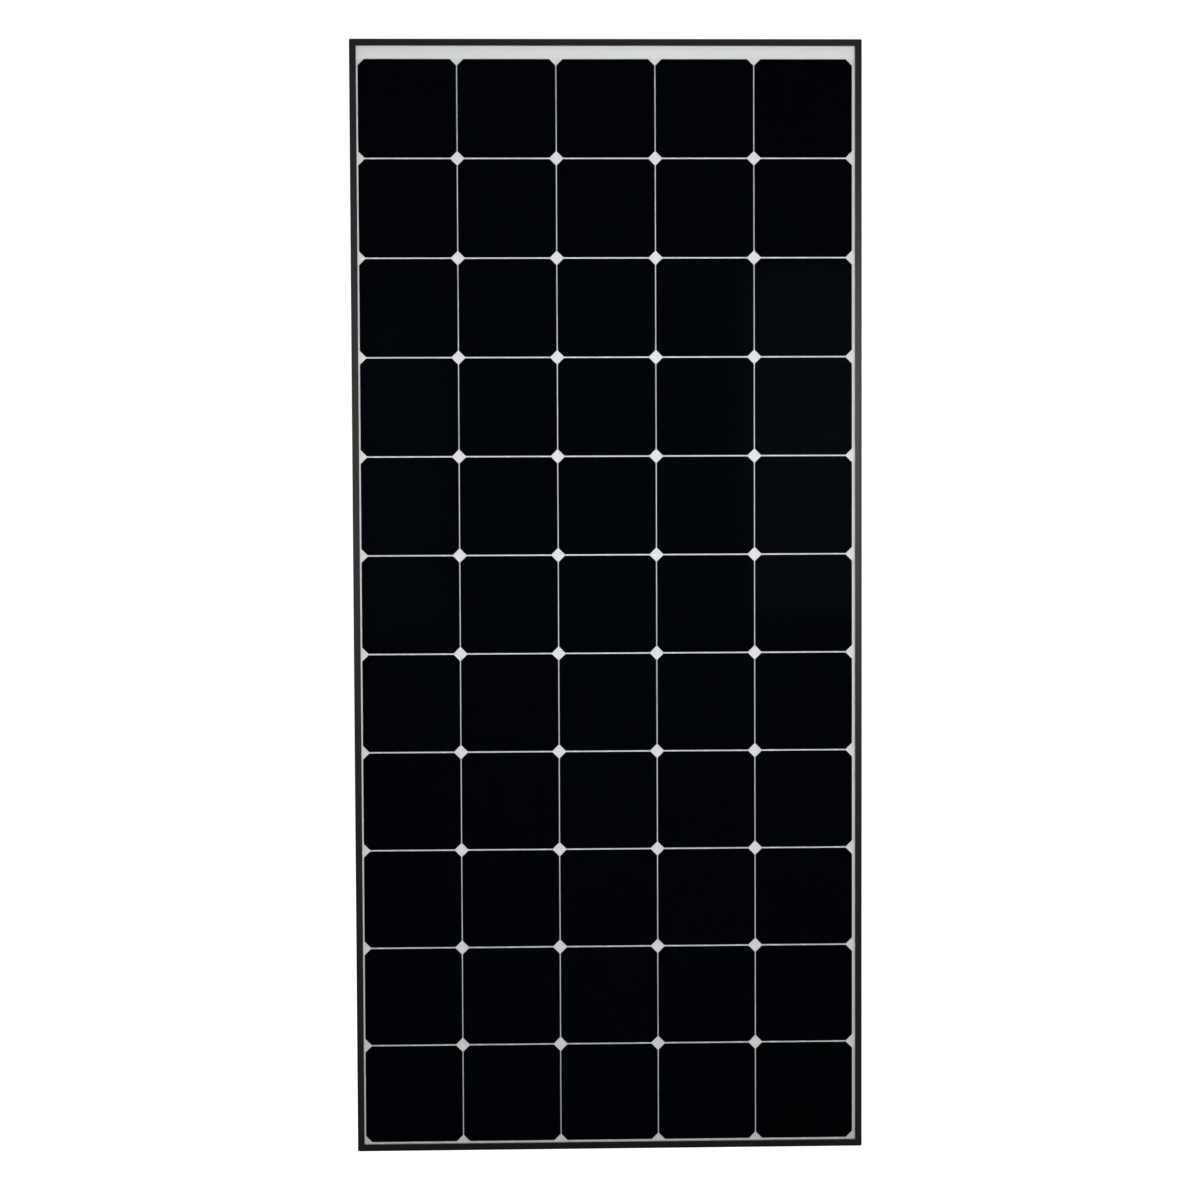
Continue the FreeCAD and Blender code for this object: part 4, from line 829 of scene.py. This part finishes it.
class BoxOperator(bpy.types.Operator):
    """Finish the junction box, its lid, its seal and its adhesive."""

    bl_idname = "solar_panel.junction_box"
    bl_label = "Junction box"

    def execute(self, context):
        look = context.scene.solar_box
        gasket_radius = 0.3 * MM
        plastic = moulded_material("moulded_black", look.plastic_colour,
                                   look.plastic_roughness, look.grain_depth)
        base = finished_copy("junction_box_base", "jbox_base", look.moulded_radius, plastic)
        lid = finished_copy("junction_box_lid", "jbox_lid", look.moulded_radius, plastic)
        self.add_grip_ribs(plastic)
        self.add_lid_ribs(plastic)
        self.add_polarity_marks(plastic)
        self.add_adhesive()
        rubber = rubber_material("seal_rubber", (0.03, 0.03, 0.03))
        gasket = finished_copy("lid_gasket", "jbox_lid_gasket", gasket_radius, rubber)
        drawn = steel_material("drawn_pin", (0.55, 0.55, 0.54), stretch=(0.02, 1.0, 1.0))
        paint_nodes(("jbox_hinge_pins",), drawn)
        return {"FINISHED"}

    def add_grip_ribs(self, material):
        """Small half-round ribs on the lid's finger tab."""
        low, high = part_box("jbox_lid")
        count = 7
        spacing = 2.2 * MM
        radius = 0.5 * MM
        length = 1.9 * MM
        flatness = 0.8
        tab_surface = high.y - 2.35 * MM
        tab_middle = low.z + 1.15 * MM

        def ribs(bm):
            for across in centred_row(count, spacing):
                place_on_tab = (Matrix.Translation((across, tab_surface, tab_middle))
                                @ Matrix.Diagonal((1.0, flatness, 1.0, 1.0)))
                bmesh.ops.create_cone(bm, cap_ends=True, segments=12, radius1=radius,
                                      radius2=radius, depth=length, matrix=place_on_tab)

        piece = new_piece("lid_grip_ribs", ribs, "lid", material)

    def add_lid_ribs(self, material):
        """Two rows of low cooling ribs beside the sunk panel of the lid."""
        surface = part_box("jbox_lid")[1].y
        middle = (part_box("jbox_adhesive")[0].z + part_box("jbox_adhesive")[1].z) / 2
        count = 9
        spacing = 5.0 * MM
        inner = 38.0 * MM
        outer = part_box("jbox_base")[1].x - 3.0 * MM
        sunk = 0.5 * MM
        raised = 0.6 * MM
        half_width = 0.9 * MM
        edge_radius = 0.4 * MM

        def ribs(bm):
            for left, right in ((-outer, -inner), (inner, outer)):
                for rise in centred_row(count, spacing):
                    level = middle + rise
                    box_between(bm, (left, surface - sunk, level - half_width),
                                (right, surface + raised, level + half_width))

        piece = new_piece("lid_ribs", ribs, "lid", material, edge_radius, segments=3)

    def add_polarity_marks(self, material):
        """Raised plus and minus on the lid, one above each cable gland."""
        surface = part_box("jbox_lid")[1].y
        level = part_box("jbox_lid")[0].z + 16.5 * MM
        half_bar = 0.8 * MM
        reach = 2.4 * MM
        sunk = 0.4 * MM
        raised = 0.35 * MM
        edge_radius = 0.15 * MM

        def marks(bm):
            for side, tilts in (("left", (0, 90, 180, 270)), ("right", (0, 180))):
                low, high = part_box(f"gland_body_{side}")
                centre = Vector(((low.x + high.x) / 2, surface, level))
                hub = box_between(bm, centre - Vector((half_bar, sunk, half_bar)),
                                  centre + Vector((half_bar, raised, half_bar)))
                faces = {face for vert in hub for face in vert.link_faces}
                for tilt in tilts:
                    outward = Vector((math.cos(math.radians(tilt)), 0.0,
                                      math.sin(math.radians(tilt))))
                    end = max(faces, key=lambda face: face.normal.dot(outward))
                    made = bmesh.ops.extrude_discrete_faces(bm, faces=[end])
                    faces.discard(end)
                    bmesh.ops.translate(bm, verts=made["faces"][0].verts[:],
                                        vec=outward * reach)

        piece = new_piece("polarity_marks", marks, "lid", material, edge_radius)

    def add_adhesive(self):
        """Pressed-out bead of adhesive round the foot of the box."""
        base_low, base_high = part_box("jbox_base")
        glue_low, glue_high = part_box("jbox_adhesive")
        overhang = 1.2 * MM
        glue_inset = 2 * MM
        corner_radius = 5 * MM
        rim_radius = 0.45 * MM
        side = base_high.x + overhang
        low = base_low.z - overhang
        high = glue_high.z + glue_inset + overhang
        thick = glue_high.y - glue_low.y
        window_half = 47 * MM
        window_low = (glue_low.z + glue_high.z) / 2 + 27 * MM
        window_high = window_low + 12 * MM

        def is_corner(edge):
            near, far = (vert.co for vert in edge.verts)
            return (abs(near.y - far.y) > thick / 2 and abs(abs(near.x) - side) < 1e-5
                    and min(abs(near.z - low), abs(near.z - high)) < 1e-5)

        def is_on_window(edge):
            return all(abs(vert.co.x) <= window_half + TOUCHING
                       and window_low - TOUCHING <= vert.co.z <= window_high + TOUCHING
                       for vert in edge.verts)

        def is_outer_rim(edge):
            near, far = (vert.co for vert in edge.verts)
            return (edge.is_manifold and abs(near.y - far.y) < TOUCHING
                    and edge.calc_face_angle() > 1.0 and not is_on_window(edge))

        def bead(bm):
            ring_plate(bm, (-side, -window_half, window_half, side),
                       (low, window_low, window_high, high), glue_low.y, glue_high.y)
            bevel_edges(bm, [edge for edge in bm.edges if is_corner(edge)], corner_radius, 6)
            bevel_edges(bm, [edge for edge in bm.edges if is_outer_rim(edge)], rim_radius, 3)

        material = rubber_material("silicone_bead", (0.045, 0.045, 0.046))
        piece = new_piece("adhesive_bead", bead, "panel", material)
        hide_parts("jbox_adhesive")


class TerminalOperator(bpy.types.Operator):
    """Finish what lies inside the junction box."""

    bl_idname = "solar_panel.terminals"
    bl_label = "Terminals"

    def execute(self, context):
        tin = context.scene.solar_laminate.tin_colour
        sheet_radius = 0.15 * MM
        solid_radius = 0.2 * MM
        plate_tin = tin_material("tinned_plate", tin, roughness=0.3)
        for name, node_name in (("terminal_plate_set", "terminal_plates"),
                                ("cable_clamp_set", "cable_clamps")):
            piece = finished_copy(name, node_name, sheet_radius, plate_tin)
        spring = steel_material("spring_steel", (0.45, 0.45, 0.46), stretch=(1.0, 1.0, 0.02))
        clips = finished_copy("ribbon_clip_set", "ribbon_clips", sheet_radius, spring)
        plated = steel_material("plated_steel", (0.66, 0.65, 0.62), stretch=(1.0, 1.0, 1.0))
        screws = finished_copy("terminal_screw_set", "terminal_screws", solid_radius, plated)
        diodes = finished_copy("bypass_diode_set", "bypass_diodes", solid_radius, diode_material())
        self.add_solder(tin_material("solder", tin, roughness=0.25))
        return {"FINISHED"}

    def add_solder(self, material):
        """Low domes of solder where the ribbons meet the terminal plates."""
        low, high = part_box("ribbon_tails")
        count = 4
        ribbon_width = 6 * MM
        pitch = (high.x - low.x - ribbon_width) / (count - 1)
        first = low.x + ribbon_width / 2
        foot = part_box("terminal_plates")[1].y + 0.2 * MM
        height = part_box("ribbon_clips")[1].z + 1.9 * MM
        dome = Matrix.Diagonal((2.6 * MM, 0.5 * MM, 1.5 * MM, 1.0))

        def domes(bm):
            for index in range(count):
                matrix = Matrix.Translation((first + index * pitch, foot, height)) @ dome
                bmesh.ops.create_icosphere(bm, subdivisions=3, radius=1.0, matrix=matrix)
            bmesh.ops.bisect_plane(bm, geom=bm.verts[:] + bm.edges[:] + bm.faces[:],
                                   plane_co=(0, foot, 0), plane_no=(0, -1, 0),
                                   clear_outer=True)
            bmesh.ops.holes_fill(bm, edges=[edge for edge in bm.edges if edge.is_boundary])
            bmesh.ops.recalc_face_normals(bm, faces=bm.faces)

        piece = new_piece("solder_joints", domes, "panel", material)


class GlandOperator(bpy.types.Operator):
    """Finish the two cable glands and add grip ribs to their nuts."""

    bl_idname = "solar_panel.glands"
    bl_label = "Cable glands"

    def execute(self, context):
        look = context.scene.solar_box
        part_radius = 0.25 * MM
        seal_radius = 0.3 * MM
        plastic = moulded_material("gland_nylon", look.plastic_colour,
                                   look.plastic_roughness - 0.1, look.grain_depth * 0.4)
        rubber = rubber_material("gland_rubber", (0.035, 0.035, 0.036))
        for side in SIDES:
            for part in ("body", "claw", "nut"):
                piece = finished_copy(f"cable_gland_{part}_{side}", f"gland_{part}_{side}",
                                      part_radius, plastic)
            seal = finished_copy(f"cable_gland_seal_{side}", f"gland_seal_{side}",
                                 seal_radius, rubber)
            self.add_nut_ribs(side, look.nut_ribs, plastic)
            self.add_thread(side, plastic)
        return {"FINISHED"}

    def add_nut_ribs(self, side, count, material):
        """Shallow ribs along each flat of a nut."""
        low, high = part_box(f"gland_nut_{side}")
        flat = (high.x - low.x) / 2
        half_length = (high.z - low.z) * 0.55 / 2
        spacing = flat * 0.28
        sunk = 0.2 * MM
        raised = 0.3 * MM
        half_width = 0.35 * MM
        edge_radius = 0.18 * MM
        centre = (low + high) / 2 + Vector((0, 0, 0.6 * MM))

        def ribs(bm):
            for turn in range(6):
                for across in centred_row(count, spacing):
                    verts = box_between(bm, (flat - sunk, across - half_width, -half_length),
                                        (flat + raised, across + half_width, half_length))
                    bmesh.ops.rotate(bm, verts=verts, cent=(0, 0, 0),
                                     matrix=Matrix.Rotation(math.radians(60 * turn), 3, "Z"))
            bmesh.ops.translate(bm, verts=bm.verts[:], vec=centre)

        piece = new_piece(f"nut_ribs_{side}", ribs, f"nut_{side}", material, edge_radius)

    def add_thread(self, side, material):
        """The part of the thread that shows between collar and nut."""
        nut_low, nut_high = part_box(f"gland_nut_{side}")
        collar_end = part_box(f"gland_body_{side}")[1].z - 7 * MM
        axis_foot = Vector(((nut_low.x + nut_high.x) / 2, (nut_low.y + nut_high.y) / 2, 0.0))
        ridge_count = 8
        pitch = 1.5 * MM
        root = 6 * MM
        sunk = root - 0.3 * MM
        foot = root - 0.02 * MM
        crest = root + 0.07 * MM
        half_foot = 0.45 * MM
        half_crest = 0.1 * MM
        profile = ((sunk, -half_foot), (foot, -half_foot), (crest, -half_crest),
                   (crest, half_crest), (foot, half_foot), (sunk, half_foot))

        def ridges(bm):
            for index in range(ridge_count):
                level = collar_end - (index + 0.7) * pitch
                ring = [bm.verts.new(axis_foot + Vector((radius, 0.0, level + height)))
                        for radius, height in profile]
                sides = [bm.edges.new((ring[corner - 1], ring[corner]))
                         for corner in range(len(ring))]
                bmesh.ops.spin(bm, geom=ring + sides, cent=axis_foot, axis=(0, 0, 1),
                               angle=math.tau, steps=40, use_merge=True)
            bmesh.ops.remove_doubles(bm, verts=bm.verts, dist=TOUCHING)
            bmesh.ops.recalc_face_normals(bm, faces=bm.faces)

        piece = new_piece(f"gland_thread_{side}", ridges, "panel", material)


class StudioOperator(bpy.types.Operator):
    """Make the floor, the lights and the camera."""

    bl_idname = "solar_panel.studio"
    bl_label = "Studio"

    def execute(self, context):
        look = context.scene.solar_studio
        self.add_floor()
        self.add_room_light(context, look.sky)
        middle = Vector((0.0, 0.0, 0.75))
        lights = (
            ("key_left", (-0.60, -1.6, 0.92), (0.7, 0.7), look.key_power * 0.65),
            ("key_right", (0.65, -1.6, 0.96), (0.7, 0.7), look.key_power * 1.35),
            ("overhead", (0.0, -2.0, 2.7), (1.6, 1.0), look.top_power),
            ("side_left", (-2.8, 0.3, 1.2), (0.8, 1.6), look.side_power),
            ("side_right", (2.8, 0.3, 1.2), (0.8, 1.6), look.side_power),
            ("rear_left", (-1.8, 2.2, 2.0), (1.2, 1.2), look.rear_power * 0.6),
            ("rear_right", (1.9, 2.0, 1.5), (1.0, 1.4), look.rear_power),
            ("rear_top", (0.2, 1.4, 2.7), (1.8, 0.6), look.rear_power * 0.5),
        )
        for name, spot, size, power in lights:
            self.add_softbox(name, Vector(spot), middle, size, power)
        fill = self.add_softbox("front_fill", Vector((0.0, -1.15, 0.92)),
                                Vector((0.0, 0.0, 0.86)), (0.4, 0.5), look.fill_power)
        fill.visible_glossy = False
        self.add_camera(context, look)
        context.scene.view_settings.view_transform = "Standard"
        context.scene.view_settings.look = "None"
        return {"FINISHED"}

    def add_floor(self):
        """A wide pale floor just under the lower rail."""
        radius = 14.0
        level = CAD_BOX[0].z - 0.5 * MM

        def disc(bm):
            bmesh.ops.create_circle(bm, cap_ends=True, segments=96, radius=radius)
            bmesh.ops.translate(bm, verts=bm.verts, vec=(0, 0, level))

        floor = add_mesh("studio_floor", disc)
        material, tree, surface = new_material("pale_floor", Roughness=0.85)
        grain = use_grain(tree, 400.0, 0.8)
        feed(tree, surface,
             Base_Color=mix_colour(tree, grain["Cloud"], (0.36, 0.36, 0.36), (0.40, 0.40, 0.40)))
        self.brighten_for_camera(tree, surface)
        paint(floor, material)

    def brighten_for_camera(self, tree, surface):
        """Lift the floor to white for the camera without lighting the panel."""
        glow = place(tree, "Emission", Strength=0.95)
        lifted = place(tree, "AddShader")
        join(tree, surface.outputs[0], lifted.inputs[0])
        join(tree, glow.outputs[0], lifted.inputs[1])
        self.split_camera_rays(tree, surface, lifted, tree.nodes["Material Output"])

    def add_room_light(self, context, strength):
        """An even pale room: bright to the eye, softer as a light."""
        world = bpy.data.worlds.new("pale_room")
        context.scene.world = world
        world.use_nodes = True
        tree = world.node_tree
        seen = tree.nodes["Background"]
        feed(tree, seen, Color=(1.0, 1.0, 1.0, 1.0), Strength=1.05)
        shone = place(tree, "Background", Color=(0.97, 0.985, 1.0, 1.0),
                      Strength=strength)
        self.split_camera_rays(tree, shone, seen, tree.nodes["World Output"])

    def split_camera_rays(self, tree, shone, seen, output):
        """Show the camera one shader and every other ray another."""
        rays = place(tree, "LightPath")
        choice = place(tree, "MixShader")
        join(tree, rays.outputs["Is Camera Ray"], choice.inputs[0])
        join(tree, shone.outputs[0], choice.inputs[1])
        join(tree, seen.outputs[0], choice.inputs[2])
        join(tree, choice.outputs[0], output.inputs["Surface"])

    def add_softbox(self, name, spot, target, size, power):
        """A rectangular light at one place that faces another."""
        data = bpy.data.lights.new(name, "AREA")
        data.shape = "RECTANGLE"
        data.size, data.size_y = size
        data.energy = power
        softbox = add_object(name, data)
        softbox.location = spot
        softbox.rotation_euler = (target - spot).to_track_quat("-Z", "Y").to_euler()
        softbox.visible_camera = False
        return softbox

    def add_camera(self, context, look):
        data = bpy.data.cameras.new("studio_camera")
        data.lens = look.lens
        data.sensor_width = 36.0
        data.clip_start = 0.05
        data.clip_end = 60.0
        camera = add_object("studio_camera", data)
        camera.location = look.camera_place
        camera.rotation_euler = Euler(look.camera_turn, "XYZ")
        context.scene.camera = camera


STEPS = (FrameOperator, LaminateOperator, RibbonOperator, BoxOperator, TerminalOperator,
         GlandOperator, StudioOperator)
SETTINGS = {
    "solar_frame": FrameFinish,
    "solar_laminate": LaminateFinish,
    "solar_box": BoxFinish,
    "solar_studio": StudioSettings,
}


class SolarPanelSidebar(bpy.types.Panel):
    """Lists the steps and their settings in the sidebar."""

    bl_idname = "VIEW3D_PT_solar_panel"
    bl_label = "Solar Panel"
    bl_space_type = "VIEW_3D"
    bl_region_type = "UI"
    bl_category = "Solar Panel"

    def draw(self, context):
        for step in STEPS:
            self.layout.operator(step.bl_idname)
        for name in SETTINGS:
            settings = getattr(context.scene, name)
            column = self.layout.column(heading=name.removeprefix("solar_").title())
            for key in settings.__annotations__:
                column.prop(settings, key)


def register():
    for settings in SETTINGS.values():
        bpy.utils.register_class(settings)
    for name, settings in SETTINGS.items():
        setattr(bpy.types.Scene, name, PointerProperty(type=settings))
    for step in STEPS:
        bpy.utils.register_class(step)
    bpy.utils.register_class(SolarPanelSidebar)


def unregister():
    bpy.utils.unregister_class(SolarPanelSidebar)
    for step in reversed(STEPS):
        bpy.utils.unregister_class(step)
    for name, settings in SETTINGS.items():
        delattr(bpy.types.Scene, name)
        bpy.utils.unregister_class(settings)


def main():
    register()
    for step in STEPS:
        category, action = step.bl_idname.split(".")
        getattr(getattr(bpy.ops, category), action)()


if __name__ == "__main__":
    main()
